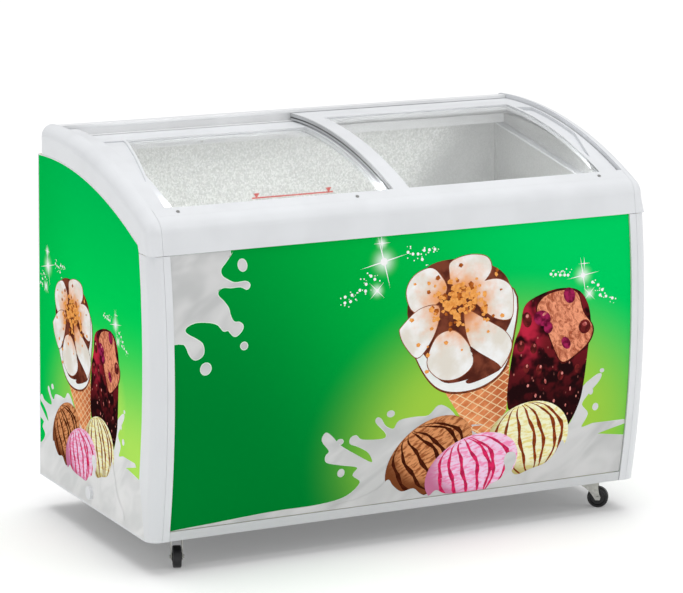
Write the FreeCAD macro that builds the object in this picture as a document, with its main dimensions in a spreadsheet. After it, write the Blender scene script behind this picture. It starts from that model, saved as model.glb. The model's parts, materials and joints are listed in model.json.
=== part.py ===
import FreeCAD, Part
import math
import os
import re
import Sketcher

# Curved-glass, sliding-top chest freezer on four swivel casters.
# Frame: millimetres, +X along the length, -Y the front, +Z up; the origin is on the floor, under the
# middle of the cabinet. All the curved tops share one axis along X (arc_y, arc_z); the bulged front has
# its own axis along X.

DIMENSIONS = {
    # cabinet envelope
    "half_length": 625, "half_depth": 355, "base_z": 78, "seam_z": 722, "seam_gap": 1,
    # common axis of the curved top, and its radii from the top down
    "arc_y": 247, "arc_z": -342, "arch_r": 1268, "rail_r": 1265, "lip_r": 1258,
    "upper_top_r": 1257, "upper_base_r": 1241, "upper_shelf_r": 1240.4,
    "lower_top_r": 1238, "lower_base_r": 1222, "lower_shelf_r": 1221.4, "end_wall_r": 1220.5,
    "band_r": 1199, "fit_gap": 0.5,
    # bulged front and leaning back
    "bulge_r": 1830, "bulge_z": 468, "rear_lean": 0.0384, "crest_r": 40, "corner_r": 30,
    "arch_edge_r": 17, "rear_edge_r": 22,
    # outer skin
    "sheet": 1.2, "arch_width": 31, "post_width": 16.5, "panel_recess": 4, "skin_depth": 5.2,
    "leg_rear_y": -272, "base_rail_height": 22.5,
    # top rails and tracks
    "front_lip_y": -273, "rail_joint_y": -300, "rear_lip_y": 275, "rear_joint_y": 290,
    "upper_front_y": -297, "lower_front_y": -290, "upper_rear_y": 278.5, "lower_rear_y": 264.5,
    "rear_face_y": 252, "door_play": 1.5, "screw_y": -289, "screw_r": 4, "screw_height": 1.5,
    "cover_left": 372, "cover_right": 120, "cover_z": 862, "cover_depth": 10,
    # liner and insulation
    "liner_x": 555, "liner_front_y": -255, "liner_rear_y": 262, "liner_floor_z": 150,
    "liner_wall": 1.5, "step_x": 275, "step_z": 395, "coil_gap": 8, "rim_rear_z": 857,
    "rim_slope": 0.1855, "rim_plate": 3, "rim_lap": 2, "end_wall_x": 575, "foam_wall": 44,
    "trim_width": 12, "trim_sheet": 1.2,
    # doors
    "door_end_x": 592, "upper_inner_x": 5, "lower_inner_x": 38, "centre_frame": 40,
    "upper_frame_x": 545, "lower_frame_x": 522, "raised_frame_x": 552, "glass": 4, "glass_drop": 3,
    "glass_grip": 8, "strip_front_y": -276, "strip_rear_y": 185, "grip_depth": 8, "tray_depth": 3,
    "gasket": 3, "brush_width": 6, "brush_height": 2.4,
    # machine compartment at the right end
    "machine_top_z": 333, "pan_sheet": 2, "grommet_x": 76, "grommet_y": 38, "fin_pitch": 10,
    "compressor_x": 430, "compressor_y": 200, "compressor_r": 72, "compressor_height": 190,
    "condenser_x": 556, "condenser_thick": 40, "condenser_half": 120, "condenser_low_z": 96,
    "condenser_high_z": 306, "fan_z": 200, "fan_r": 88, "fan_hub_r": 19, "motor_r": 34,
    # grilles, outlet and controls
    "grille_half": 160, "grille_low_z": 108, "grille_high_z": 312, "grille_proud": 8,
    "rear_grille_x": 333, "rear_grille_width": 255, "rear_grille_plate": 3,
    "drain_y": 28, "drain_z": 112, "drain_r": 12, "drain_bore_r": 9, "drain_cap_r": 15,
    "drain_riser_x": -500, "knob_x": 378, "knob_z": 285, "knob_r": 15, "knob_height": 7.5,
    # casters
    "caster_x": 540, "left_caster_x": 528, "rear_caster_x": 470, "caster_y": 235, "wheel_r": 25,
    "wheel_width": 19,
    "trail": 24, "fork_front": 26, "fork_back": 22, "leg_curve_r": 70,
    "plate_thick": 3, "plate_long": 60, "plate_wide": 52, "bolt_r": 3, "race_r": 17,
    "fork_leg": 2, "fork_inside": 11.5, "fork_top_z": 66, "axle_r": 4,
}

doc = FreeCAD.newDocument("chest_freezer")
sheet = doc.addObject("Spreadsheet::Sheet", "Dims")
for row, (alias, number) in enumerate(DIMENSIONS.items(), start=1):
    sheet.set("A%d" % row, alias)
    sheet.set("B%d" % row, str(number))
    sheet.setAlias("B%d" % row, alias)
doc.recompute()

NODES = {}


# ---- expressions -------------------------------------------------------------------------------

def bound(text):
    """The text of an expression with every alias pointing at the sheet."""
    def point(word):
        return "Dims." + word.group() if word.group() in DIMENSIONS else word.group()
    return re.sub(r"\b[a-z]\w*\b", point, str(text))


def value(text):
    """The number that an expression gives."""
    return float(sheet.evalExpression(bound(text)))


def on_arc(y, r):
    """Height of the curved top of radius r above depth y."""
    return "(arc_z + sqrt((%s)^2 - ((%s) - arc_y)^2))" % (r, y)


def on_front(z, inset="0"):
    """Depth of the bulged front at height z, inset into the cabinet."""
    return "(bulge_r - half_depth - sqrt((bulge_r - (%s))^2 - ((%s) - bulge_z)^2))" % (inset, z)


def on_rear(z, inset="0"):
    """Depth of the leaning back at height z."""
    return "(half_depth - (%s) - ((%s) - base_z) * rear_lean)" % (inset, z)


def on_rim(y):
    """Height of the sloping liner rim at depth y."""
    return "(rim_rear_z - (liner_rear_y - (%s)) * rim_slope)" % y


def crest():
    """Where the bulged front meets the curved top, before the crest is rounded."""
    run = "(bulge_r - half_depth - arc_y)"
    rise = "(bulge_z - arc_z)"
    span = "sqrt(%s^2 + %s^2)" % (run, rise)
    along = "((arch_r^2 - bulge_r^2 + %s^2 + %s^2) / (2 * %s))" % (run, rise, span)
    across = "sqrt(arch_r^2 - %s^2)" % along
    y = "(arc_y + (%s * %s - %s * %s) / %s)" % (along, run, across, rise, span)
    z = "(arc_z + (%s * %s + %s * %s) / %s)" % (along, rise, across, run, span)
    return y, z


# ---- document objects --------------------------------------------------------------------------

def node(name, thing):
    """Name a finished sub-part."""
    thing.Label = name
    NODES[name] = thing
    return thing


def bind(thing, **terms):
    """Bind properties to expressions; x, y and z stand for the placement."""
    for term, text in terms.items():
        prop = "Placement.Base." + term if term in "xyz" else term
        thing.setExpression(prop, bound(text))
    return thing


def box(name, x, y, z, dx, dy, dz):
    return bind(doc.addObject("Part::Box", name), x=x, y=y, z=z, Length=dx, Width=dy, Height=dz)


def cylinder(name, axis, r, height, x, y, z):
    thing = doc.addObject("Part::Cylinder", name)
    turns = {"X": ((0, 1, 0), 90), "Y": ((1, 0, 0), -90), "Z": ((0, 0, 1), 0)}
    direction, angle = turns[axis]
    thing.Placement.Rotation = FreeCAD.Rotation(FreeCAD.Vector(*direction), angle)
    return bind(thing, x=x, y=y, z=z, Radius=r, Height=height)


def cut(name, base, *tools):
    tool = tools[0] if len(tools) == 1 else join(name + "_tool", *tools)
    thing = doc.addObject("Part::Cut", name)
    thing.Base = base
    thing.Tool = tool
    return thing


def join(name, *things):
    thing = doc.addObject("Part::MultiFuse", name)
    thing.Shapes = list(things)
    return thing


def common(name, *things):
    thing = doc.addObject("Part::MultiCommon", name)
    thing.Shapes = list(things)
    return thing


def group(name, *things):
    """Separate solids kept together in one sub-part."""
    thing = doc.addObject("Part::Compound", name)
    thing.Links = list(things)
    return thing


def origin_part(body, role):
    return [part for part in body.Origin.OriginFeatures if part.Role == role][0]


def add_arc(sketch, start, end, radius, side):
    """Add the arc from start to end whose centre is on the left (side 1) or the right (side -1)."""
    r = value(radius)
    chord = end - start
    left = FreeCAD.Vector(-chord.y, chord.x, 0).normalize()
    centre = (start + end) * 0.5 + left * (side * math.sqrt(r * r - chord.Length ** 2 / 4))
    first = math.atan2(start.y - centre.y, start.x - centre.x)
    last = math.atan2(end.y - centre.y, end.x - centre.x)
    if side < 0:
        first, last = last, first
    circle = Part.Circle(centre, FreeCAD.Vector(0, 0, 1), r)
    edge = sketch.addGeometry(Part.ArcOfCircle(circle, first, last))
    rule = sketch.addConstraint(Sketcher.Constraint("Radius", edge, r))
    sketch.setExpression("Constraints[%d]" % rule, bound(radius))
    return (edge, 1, 2) if side > 0 else (edge, 2, 1)


def outline(body, role, steps, offset="0"):
    """A closed sketch: each step is a corner (u, v), with (radius, side) when an arc leads to it."""
    sketch = body.newObject("Sketcher::SketchObject", body.Name + "_outline")
    sketch.AttachmentSupport = (origin_part(body, role), [""])
    sketch.MapMode = "FlatFace"
    sketch.setExpression("AttachmentOffset.Base.z", bound(offset))
    corners = [FreeCAD.Vector(value(step[0]), value(step[1]), 0) for step in steps]
    edges = []
    for index, step in enumerate(steps):
        start, end = corners[index - 1], corners[index]
        if len(step) == 2:
            edges.append((sketch.addGeometry(Part.LineSegment(start, end)), 1, 2))
        else:
            edges.append(add_arc(sketch, start, end, step[2], step[3]))
    for index, step in enumerate(steps):
        edge, _, tail = edges[index]
        following, head, _ = edges[(index + 1) % len(steps)]
        sketch.addConstraint(Sketcher.Constraint("Coincident", edge, tail, following, head))
        for kind, text in (("DistanceX", step[0]), ("DistanceY", step[1])):
            rule = sketch.addConstraint(Sketcher.Constraint(kind, -1, 1, edge, tail, value(text)))
            sketch.setExpression("Constraints[%d]" % rule, bound(text))
    return sketch


def padded(name, role, steps, start, length):
    """A body padded from an outline along the plane's normal."""
    body = doc.addObject("PartDesign::Body", name)
    sketch = outline(body, role, steps, start)
    pad = body.newObject("PartDesign::Pad", name + "_pad")
    pad.Profile = sketch
    pad.setExpression("Length", bound(length))
    body.Tip = pad
    doc.recompute()
    return body


def section(name, steps, x, width):
    """A body with one cross-section in depth and height, from x along the length."""
    return padded(name, "YZ_Plane", steps, x, width)


def turned(name, steps):
    """A body turned about the vertical axis through its own origin."""
    body = doc.addObject("PartDesign::Body", name)
    sketch = outline(body, "XZ_Plane", steps)
    turn = body.newObject("PartDesign::Revolution", name + "_turn")
    turn.Profile = sketch
    turn.ReferenceAxis = (origin_part(body, "Z_Axis"), [""])
    turn.Angle = 360
    body.Tip = turn
    doc.recompute()
    return body


def rounded(body, radius, test):
    """Round the edges of a body that pass the test."""
    chosen = ["Edge%d" % (i + 1) for i, edge in enumerate(body.Shape.Edges) if test(edge)]
    before = body.Tip
    fillet = body.newObject("PartDesign::Fillet", body.Name + "_round")
    fillet.Base = (before, chosen)
    fillet.setExpression("Radius", bound(radius))
    body.Tip = fillet
    doc.recompute()
    return body


def band(name, r_low, r_high, y_low, y_high, x, width):
    """A piece of the curved top between two radii and two depths."""
    steps = [(y_low, on_arc(y_low, r_low)), (y_low, on_arc(y_low, r_high)),
             (y_high, on_arc(y_high, r_high), r_high, -1), (y_high, on_arc(y_high, r_low)),
             (y_low, on_arc(y_low, r_low), r_low, 1)]
    return section(name, steps[1:], x, width)


def tube_shape(points, radius, bend):
    """A round tube through the points, with bends tangent to its straight runs."""
    points = [FreeCAD.Vector(*point) for point in points]
    edges = []
    last = points[0]
    for before, corner, after in zip(points, points[1:], points[2:]):
        inward = (before - corner).normalize()
        outward = (after - corner).normalize()
        half = inward.getAngle(outward) / 2
        enter = corner + inward * (bend / math.tan(half))
        leave = corner + outward * (bend / math.tan(half))
        bisector = (inward + outward).normalize()
        middle = corner + bisector * (bend / math.sin(half) - bend)
        edges.append(Part.LineSegment(last, enter).toShape())
        edges.append(Part.Arc(enter, middle, leave).toShape())
        last = leave
    edges.append(Part.LineSegment(last, points[-1]).toShape())
    path = Part.Wire(edges)
    ring = Part.Wire([Part.makeCircle(radius, points[0], points[1] - points[0])])
    return path.makePipeShell([ring], True, False)


def feature(name, shape):
    thing = doc.addObject("Part::Feature", name)
    thing.Shape = shape
    return thing


def at_front_edge(side):
    """The test for the tall edge where the front meets the side at x of this sign."""
    edge_x = side * value("half_length")

    def test(edge):
        ends = [vertex.Point for vertex in edge.Vertexes]
        on_side = all(abs(point.x - edge_x) < 0.01 for point in ends)
        in_front = all(point.y < value("leg_rear_y") - 20 for point in ends)
        return on_side and in_front and edge.Length > 100
    return test


def across_at(y, z, reach):
    """The test for edges along X that pass within reach of a depth and height."""
    def test(edge):
        ends = [vertex.Point for vertex in edge.Vertexes]
        if len(ends) < 2 or abs(ends[0].x - ends[1].x) < 5:
            return False
        return abs(ends[0].y - y) < reach and abs(ends[0].z - z) < reach
    return test


# ---- outer skin --------------------------------------------------------------------------------

LEFT_X = "(0 - half_length)"
WRAP_X = "(half_length - arch_width + 1)"
SIDE_TOP = "(seam_z - seam_gap)"


def side_steps(inset, grow):
    """Side view of the cabinet wall, inset from the front and back, and taller by grow."""
    top = "(band_r - fit_gap + (%s))" % grow
    low = "(base_z - (%s))" % grow
    shoulder = "(%s + (%s))" % (SIDE_TOP, grow)
    leg = "(leg_rear_y + fit_gap - (%s))" % grow
    rear_top = "(rim_rear_z - 2 + (%s))" % grow
    rear_y = on_rear(rear_top, inset)
    return [(on_front(low, inset), low),
            (on_front(shoulder, inset), shoulder, "bulge_r - (%s)" % inset, -1),
            (leg, shoulder),
            (leg, on_arc(leg, top)),
            (rear_y, on_arc(rear_y, top), top, -1),
            (on_rear(low, inset), low)]


def side_panel(name, side):
    """Steel side sheet that wraps round the front corner up to the corner post."""
    wrap = "(half_length - (%s))" % WRAP_X
    outer_x = LEFT_X if side < 0 else WRAP_X
    inner_x = "(sheet - half_length)" if side < 0 else "(%s - 5)" % WRAP_X
    outer = section(name + "_outside", side_steps("0", "0"), outer_x, wrap)
    rounded(outer, "corner_r - 0.5", at_front_edge(side))
    inner = section(name + "_inside", side_steps("sheet", "5"), inner_x, wrap + " - sheet + 5")
    inner_edge = side * (value("half_length") - value("sheet"))

    def front_edge(edge):
        ends = [vertex.Point for vertex in edge.Vertexes]
        return edge.Length > 100 and all(
            abs(p.x - inner_edge) < 0.01 and p.y < value("leg_rear_y") - 20 for p in ends)
    rounded(inner, "corner_r - 0.5 - sheet", front_edge)
    return outer, inner


def make_skin():
    outer, inner = side_panel("left_side", -1)
    hole = cylinder("drain_hole", "X", "drain_r + 0.5", 20, "0 - half_length - 5", "drain_y",
                    "drain_z")
    node("left_side_panel", cut("left_side_sheet", outer, inner, hole))
    outer, inner = side_panel("right_side", 1)
    window = box("side_window", "half_length - 5", "12 - grille_half", "grille_low_z + 12", 20,
                 "2 * grille_half - 24", "grille_high_z - grille_low_z - 24")
    node("right_side_panel", cut("right_side_sheet", outer, inner, window))

    top = SIDE_TOP
    low = "(base_z + base_rail_height + seam_gap)"
    post_x = "(half_length - arch_width + 0.5)"

    def front_strip(name, low_z, high_z, near, far, x, width):
        steps = [(on_front(high_z, near), high_z, "bulge_r - (%s)" % near, -1),
                 (on_front(high_z, far), high_z),
                 (on_front(low_z, far), low_z, "bulge_r - (%s)" % far, 1),
                 (on_front(low_z, near), low_z)]
        return section(name, steps, x, width)

    half = "(%s - post_width - fit_gap * 2)" % post_x
    node("front_panel", front_strip("front_sheet", low, top, "panel_recess", "skin_depth",
                                    "0 - " + half, "2 * " + half))
    node("front_base_rail", front_strip("base_strip", "base_z", "base_z + base_rail_height", "2",
                                        "skin_depth", "0 - " + half, "2 * " + half))
    node("front_left_post", front_strip("left_post", "base_z", top, "0", "skin_depth",
                                        "0 - " + post_x, "post_width"))
    node("front_right_post", front_strip("right_post", "base_z", top, "0", "skin_depth",
                                         post_x + " - post_width", "post_width"))

    rear_low = "(base_z + pan_sheet + 0.5)"
    rear_top = "(rim_rear_z + 8)"
    inner = "(half_length - arch_width - 0.3)"
    back = section("rear_sheet", [
        (on_rear(rear_low), rear_low), (on_rear(rear_low, "sheet"), rear_low),
        (on_rear(rear_top, "sheet"), rear_top), (on_rear(rear_top), rear_top)],
        "0 - " + inner, "2 * " + inner)
    window = box("rear_window", "rear_grille_x", "250", "grille_low_z", "rear_grille_width", 150,
                 "grille_high_z - grille_low_z")
    node("rear_panel", cut("rear_sheet_cut", back, window))

    front_y = on_front("base_z", "skin_depth + 0.3")
    half = "(half_length - sheet - 0.3)"
    pan = box("pan", "0 - " + half, front_y, "base_z", "2 * " + half,
              on_rear("base_z + pan_sheet", "sheet + 0.3") + " - " + front_y, "pan_sheet")
    corners = doc.addObject("Part::Fillet", "pan_round")
    doc.recompute()
    corners.Base = pan
    chosen = [i + 1 for i, e in enumerate(pan.Shape.Edges)
              if abs(e.Length - value("pan_sheet")) < 0.01 and e.CenterOfMass.y < 0]
    corners.Edges = [(i, value("corner_r") - 2, value("corner_r") - 2) for i in chosen]
    node("base_pan", corners)


# ---- insulation and liner ----------------------------------------------------------------------

FOAM_X = "(liner_x + liner_wall + coil_gap)"
SKIN_X = "(half_length - sheet)"
PAN_TOP = "(base_z + pan_sheet)"
RISER_X = "(step_x + liner_wall + coil_gap)"


def make_insulation():
    front_in = "(liner_front_y - liner_wall - coil_gap)"
    rear_in = "(liner_rear_y + liner_wall + coil_gap)"
    floor_top = "(liner_floor_z - liner_wall - coil_gap)"
    behind_track = "(liner_front_y - liner_wall)"
    ledge_x = "(half_length - arch_width - 0.2)"

    front = section("foam_front", [
        (on_front(SIDE_TOP, "skin_depth"), SIDE_TOP, "bulge_r - skin_depth", -1),
        (front_in, SIDE_TOP), (front_in, PAN_TOP), (on_front(PAN_TOP, "skin_depth"), PAN_TOP)],
        "0 - " + FOAM_X, "2 * " + FOAM_X)

    def rear_slab(name, low, high, x, width):
        top = on_rim(on_rear("rim_rear_z + 9", "sheet")) + " - 0.3" if high is None else high
        step = on_rim(rear_in) + " - 0.3" if high is None else high
        return section(name, [(rear_in, low), (rear_in, step), (on_rear(top, "sheet"), top),
                              (on_rear(low, "sheet"), low)], x, width)
    above = "(machine_top_z + 2)"
    rear_high = rear_slab("foam_rear", above, None, "0 - " + FOAM_X, "2 * " + FOAM_X)
    rear_low = rear_slab("foam_rear_low", PAN_TOP, above, "0 - " + FOAM_X,
                         "%s + %s + foam_wall" % (FOAM_X, RISER_X))
    floor = box("foam_floor", "0 - " + FOAM_X, front_in, PAN_TOP, "%s + %s" % (FOAM_X, RISER_X),
                "%s - %s" % (rear_in, front_in), "%s - %s" % (floor_top, PAN_TOP))
    riser = box("foam_riser", RISER_X, front_in, PAN_TOP, "foam_wall",
                "%s - %s" % (rear_in, front_in), "%s - %s" % (above, PAN_TOP))
    shelf = box("foam_shelf", RISER_X, front_in, above, "%s - %s" % (FOAM_X, RISER_X),
                "%s - %s" % (rear_in, front_in), "step_z - liner_wall - coil_gap - %s" % above)

    def inner_wall(name, low, x, width):
        """Thick side slab under the sloping rim."""
        foot = on_front(low, "skin_depth")
        rim_rear = "(%s - 0.3)" % on_rim(on_rear("rim_rear_z + 9", "sheet"))
        return section(name, [
            (on_front(SIDE_TOP, "skin_depth"), SIDE_TOP, "bulge_r - skin_depth", -1),
            (behind_track, SIDE_TOP), (behind_track, on_rim(behind_track) + " - 0.3"),
            (on_rear(rim_rear, "sheet"), rim_rear), (on_rear(low, "sheet"), low), (foot, low)],
            x, width)

    def outer_wall(name, low, x, side):
        """Thin side slab that rises into the arch, with a rounded front corner."""
        leg = "(leg_rear_y + fit_gap * 2)"
        top = "(band_r - fit_gap * 2)"
        rear_y = on_rear("rim_rear_z - 2", "sheet + 0.3")
        slab = section(name, [
            (on_front(SIDE_TOP, "skin_depth"), SIDE_TOP, "bulge_r - skin_depth", -1),
            (leg, SIDE_TOP), (leg, on_arc(leg, top)), (rear_y, on_arc(rear_y, top), top, -1),
            (on_rear(low, "sheet + 0.3"), low), (on_front(low, "skin_depth"), low)],
            x, "%s - %s" % (SKIN_X, ledge_x))
        corner_x = side * value(SKIN_X)

        def corner(edge):
            ends = [vertex.Point for vertex in edge.Vertexes]
            return edge.Length > 100 and all(
                abs(p.x - corner_x) < 0.01 and p.y < value("leg_rear_y") - 20 for p in ends)
        return rounded(slab, "corner_r - 3", corner)

    depth = "%s - %s" % (ledge_x, FOAM_X)
    left_inner = inner_wall("foam_left_inner", PAN_TOP, "0 - " + ledge_x, depth)
    left_outer = outer_wall("foam_left_outer", PAN_TOP, "0 - " + SKIN_X, -1)
    right_inner = inner_wall("foam_right_inner", above, FOAM_X, depth)
    right_outer = outer_wall("foam_right_outer", above, ledge_x, 1)
    bore = cylinder("foam_bore", "X", "drain_r", "150", "0 - half_length", "drain_y", "drain_z")
    slabs = [front, rear_high, rear_low, riser, shelf, right_inner, right_outer]
    for slab in (left_inner, left_outer, floor):
        slabs.append(cut(slab.Name + "_bored", slab, bore))
    rising = cylinder("foam_riser_bore", "Z", "drain_r", 80, "drain_riser_x", "drain_y", "drain_z")
    slabs[-1] = cut("foam_floor_drained", slabs[-1], rising)
    node("foam_insulation", group("foam_slabs", *slabs))


def make_liner():
    def tub(name, grow, top):
        """The liner's volume: depth and height outline, with its machine step cut away."""
        front, rear = "(liner_front_y - (%s))" % grow, "(liner_rear_y + (%s))" % grow
        low, half = "(liner_floor_z - (%s))" % grow, "(liner_x + (%s))" % grow
        full = section(name, [(front, low), (front, on_rim(front) + top), (rear, on_rim(rear) + top),
                              (rear, low)], "0 - " + half, "2 * " + half)
        step = box(name + "_step", "step_x + (%s)" % grow, front + " - 1", low + " - 1",
                   half + " - step_x + 10", "%s - %s + 2" % (rear, front),
                   "step_z - (%s) - %s + 1" % (grow, low))
        return cut(name + "_stepped", full, step)
    hole = cylinder("liner_drain", "Z", "drain_bore_r", 20, "drain_riser_x", "drain_y",
                    "liner_floor_z - 15")
    outside, inside = tub("liner_outside", "liner_wall", ""), tub("liner_inside", "0", " + 10")
    node("inner_liner", cut("liner_tub", outside, inside, hole))

    def rim_plate(name, front, rear, low, high, half):
        return section(name, [(front, on_rim(front) + low), (front, on_rim(front) + high),
                              (rear, on_rim(rear) + high), (rear, on_rim(rear) + low)],
                       "0 - " + half, "2 * " + half)
    plate = rim_plate("rim_plate", "(liner_front_y - liner_wall)", "rear_joint_y", "",
                      " + rim_plate", "(half_length - arch_width - fit_gap)")
    mouth = rim_plate("rim_mouth", "(liner_front_y + rim_lap)", "(liner_rear_y - rim_lap)", " - 5",
                      " + 10", "(liner_x - rim_lap)")
    node("liner_rim", cut("rim_ring", plate, mouth))

    def wall_profile(x):
        front, rear = "(liner_front_y + 5)", "(rear_face_y - fit_gap)"
        return section("end_wall", [
            (front, on_rim(front) + " + rim_plate"), (front, on_arc(front, "end_wall_r")),
            (rear, on_arc(rear, "end_wall_r"), "end_wall_r", -1),
            (rear, on_rim(rear) + " + rim_plate")], x, "half_length - arch_width - end_wall_x - 0.5")
    node("left_end_wall", wall_profile("arch_width + fit_gap - half_length"))
    node("right_end_wall", wall_profile("end_wall_x"))

    trims = []
    for side_x, side_y in ((-1, -1), (-1, 1), (1, -1), (1, 1)):
        edge_y = "liner_front_y" if side_y < 0 else "liner_rear_y"
        foot = "liner_floor_z" if side_x < 0 else "step_z"
        x = "0 - liner_x" if side_x < 0 else "liner_x - trim_width"
        y = edge_y if side_y < 0 else edge_y + " - trim_width"
        top = on_rim(edge_y) + (" - 2" if side_y < 0 else " - trim_width * rim_slope - 2")
        angle = box("trim", x, y, foot, "trim_width", "trim_width", "%s - %s" % (top, foot))
        shift_x = "+ trim_sheet" if side_x < 0 else "- trim_sheet"
        shift_y = "+ trim_sheet" if side_y < 0 else "- trim_sheet"
        hollow = box("trim_hollow", "%s %s" % (x, shift_x), "%s %s" % (y, shift_y), foot,
                     "trim_width", "trim_width", "%s - %s" % (top, foot))
        trims.append(cut("corner_trim", angle, hollow))
    node("liner_corner_trims", group("corner_trims", *trims))

    loops = []
    for index, height in enumerate((190, 260, 330, 440, 510, 580, 650)):
        right = value("step_x" if height < value("step_z") else "liner_x")
        loops.append(coil_loop(right + value("liner_wall"), height))
    node("evaporator_tubes", feature("evaporator", Part.makeCompound(loops)))


def coil_loop(right, height):
    """One turn of tube round the liner, half-way across the gap behind it."""
    gap = value("coil_gap") / 2
    x_low, x_high = -value("liner_x + liner_wall") - gap, right + gap
    y_low = value("liner_front_y - liner_wall") - gap
    y_high = value("liner_rear_y + liner_wall") + gap
    middle = (x_low + x_high) / 2
    points = [(middle, y_low, height), (x_high, y_low, height), (x_high, y_high, height),
              (x_low, y_high, height), (x_low, y_low, height), (middle - 2, y_low, height)]
    return tube_shape(points, gap - 1, gap)


# ---- top frame ---------------------------------------------------------------------------------

INNER_X = "(half_length - arch_width - fit_gap)"
TRACK_SCREWS = ("0 - 538", "0 - 104", "523")


def make_arch(name, side):
    """Moulded end cap: a curved band over the side panel, and a leg down to the front seam."""
    top_y, top_z = crest()
    low = "band_r"
    rear_low = on_rear("rim_rear_z")
    rear_top = on_rear("rim_rear_z + 60")
    x = LEFT_X if side < 0 else "half_length - arch_width"
    steps = [(top_y, top_z, "bulge_r", -1), (rear_top, on_arc(rear_top, "arch_r"), "arch_r", -1),
             (rear_low, on_arc(rear_low, low)), ("leg_rear_y", on_arc("leg_rear_y", low), low, 1),
             ("leg_rear_y", "seam_z"), (on_front("seam_z"), "seam_z")]
    body = section(name, steps, x, "arch_width")
    rounded(body, "crest_r", across_at(value(top_y), value(top_z), 2))
    rounded(body, "rear_edge_r", across_at(value(rear_top), value(on_arc(rear_top, "arch_r")), 2))
    outer_x = side * value("half_length")
    foot = FreeCAD.Vector(outer_x, value(on_front("seam_z")), value("seam_z"))
    front = [i + 1 for i, edge in enumerate(body.Shape.Edges)
             if abs(edge.CenterOfMass.x - outer_x) < 0.01 and edge.CenterOfMass.y < foot.y + 8
             and min(v.Point.distanceToPoint(foot) for v in edge.Vertexes) < 0.01]
    soft = doc.addObject("Part::Fillet", name + "_soft")
    soft.Base = body
    soft.Edges = [(front[0], value("corner_r"), value("arch_edge_r"))]
    doc.recompute()
    return soft


def make_top_frame():
    for name, side in (("left_arch", -1), ("right_arch", 1)):
        node(name, make_arch(name + "_cap", side))

    top_y, top_z = crest()
    rail = section("front_rail_bar", [
        (top_y, top_z, "bulge_r", -1),
        ("rail_joint_y", on_arc("rail_joint_y", "arch_r"), "arch_r", -1),
        ("rail_joint_y", "seam_z"), (on_front("seam_z"), "seam_z")],
        "0 - " + INNER_X, "2 * " + INNER_X)
    rounded(rail, "crest_r", across_at(value(top_y), value(top_z), 2))
    node("front_rail", rail)

    start = "(rail_joint_y + 0.2)"
    behind = "(liner_front_y - liner_wall)"
    track = section("front_track_bar", [
        ("front_lip_y", on_arc("front_lip_y", "arch_r"), "arch_r", -1),
        ("front_lip_y", on_arc("front_lip_y", "lip_r")),
        ("upper_front_y", on_arc("upper_front_y", "lip_r"), "lip_r", 1),
        ("upper_front_y", on_arc("upper_front_y", "upper_shelf_r")),
        ("lower_front_y", on_arc("lower_front_y", "upper_shelf_r"), "upper_shelf_r", -1),
        ("lower_front_y", on_arc("lower_front_y", "lower_shelf_r")),
        (behind, on_arc(behind, "lower_shelf_r"), "lower_shelf_r", -1),
        (behind, "seam_z"), (start, "seam_z"), (start, on_arc(start, "arch_r"))],
        "0 - " + INNER_X, "2 * " + INNER_X)
    node("front_track", track)

    under = " + rim_plate + 0.2"
    edge = "(rear_joint_y - 0.2)"
    track = section("rear_track_bar", [
        (edge, on_arc(edge, "rail_r"), "rail_r", -1), (edge, on_rim(edge) + under),
        ("rear_face_y", on_rim("rear_face_y") + under),
        ("rear_face_y", on_arc("rear_face_y", "lower_shelf_r")),
        ("lower_rear_y", on_arc("lower_rear_y", "lower_shelf_r"), "lower_shelf_r", -1),
        ("lower_rear_y", on_arc("lower_rear_y", "upper_shelf_r")),
        ("upper_rear_y", on_arc("upper_rear_y", "upper_shelf_r"), "upper_shelf_r", -1),
        ("upper_rear_y", on_arc("upper_rear_y", "lip_r")),
        ("rear_lip_y", on_arc("rear_lip_y", "lip_r"), "lip_r", 1),
        ("rear_lip_y", on_arc("rear_lip_y", "rail_r"))], "0 - " + INNER_X, "2 * " + INNER_X)
    node("rear_track", track)

    rear_top = on_rear("rim_rear_z + 60")
    rear_low = "(rim_rear_z + 15)"
    rail = section("rear_rail_bar", [
        (rear_top, on_arc(rear_top, "rail_r"), "rail_r", -1), (on_rear(rear_low), rear_low),
        ("rear_joint_y", on_rim("rear_joint_y") + under),
        ("rear_joint_y", on_arc("rear_joint_y", "rail_r"))], "0 - " + INNER_X, "2 * " + INNER_X)
    rounded(rail, "rear_edge_r", across_at(value(rear_top), value(on_arc(rear_top, "rail_r")), 2))
    node("rear_rail", rail)

    corners = [("0 - cover_left", "cover_z + 6"), ("17 - cover_left", "cover_z"),
               ("0 - 190", "cover_z"), ("0 - 178", "cover_z + 7"),
               ("0 - cover_right", "cover_z + 12"), ("0 - cover_right", "cover_z + 15"),
               ("0 - cover_left", "cover_z + 12")]
    cover = padded("cover_plate", "XZ_Plane", corners, "0.1 - rear_face_y", "cover_depth")
    node("sensor_cover", cover)

    heads = []
    for x in TRACK_SCREWS:
        head = cylinder("track_screw", "Z", "screw_r", "screw_height", x, "screw_y",
                        on_arc("screw_y", "arch_r + 0.1"))
        slope = math.asin((value("screw_y") - value("arc_y")) / value("arch_r"))
        head.Placement.Rotation = FreeCAD.Rotation(FreeCAD.Vector(1, 0, 0), -math.degrees(slope))
        heads.append(head)
    heads.append(cylinder("cover_screw", "Y", "screw_r", "screw_height",
                          "0 - (cover_left + cover_right) / 2",
                          "rear_face_y - cover_depth - 0.1 - screw_height", "cover_z + 6"))
    node("screws", group("screw_heads", *heads))


# ---- doors -------------------------------------------------------------------------------------

def plan_prism(name, corners):
    """A tall prism over a plan outline, used to trim the curved frames."""
    return padded(name, "XY_Plane", corners, "650", "350")


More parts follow.
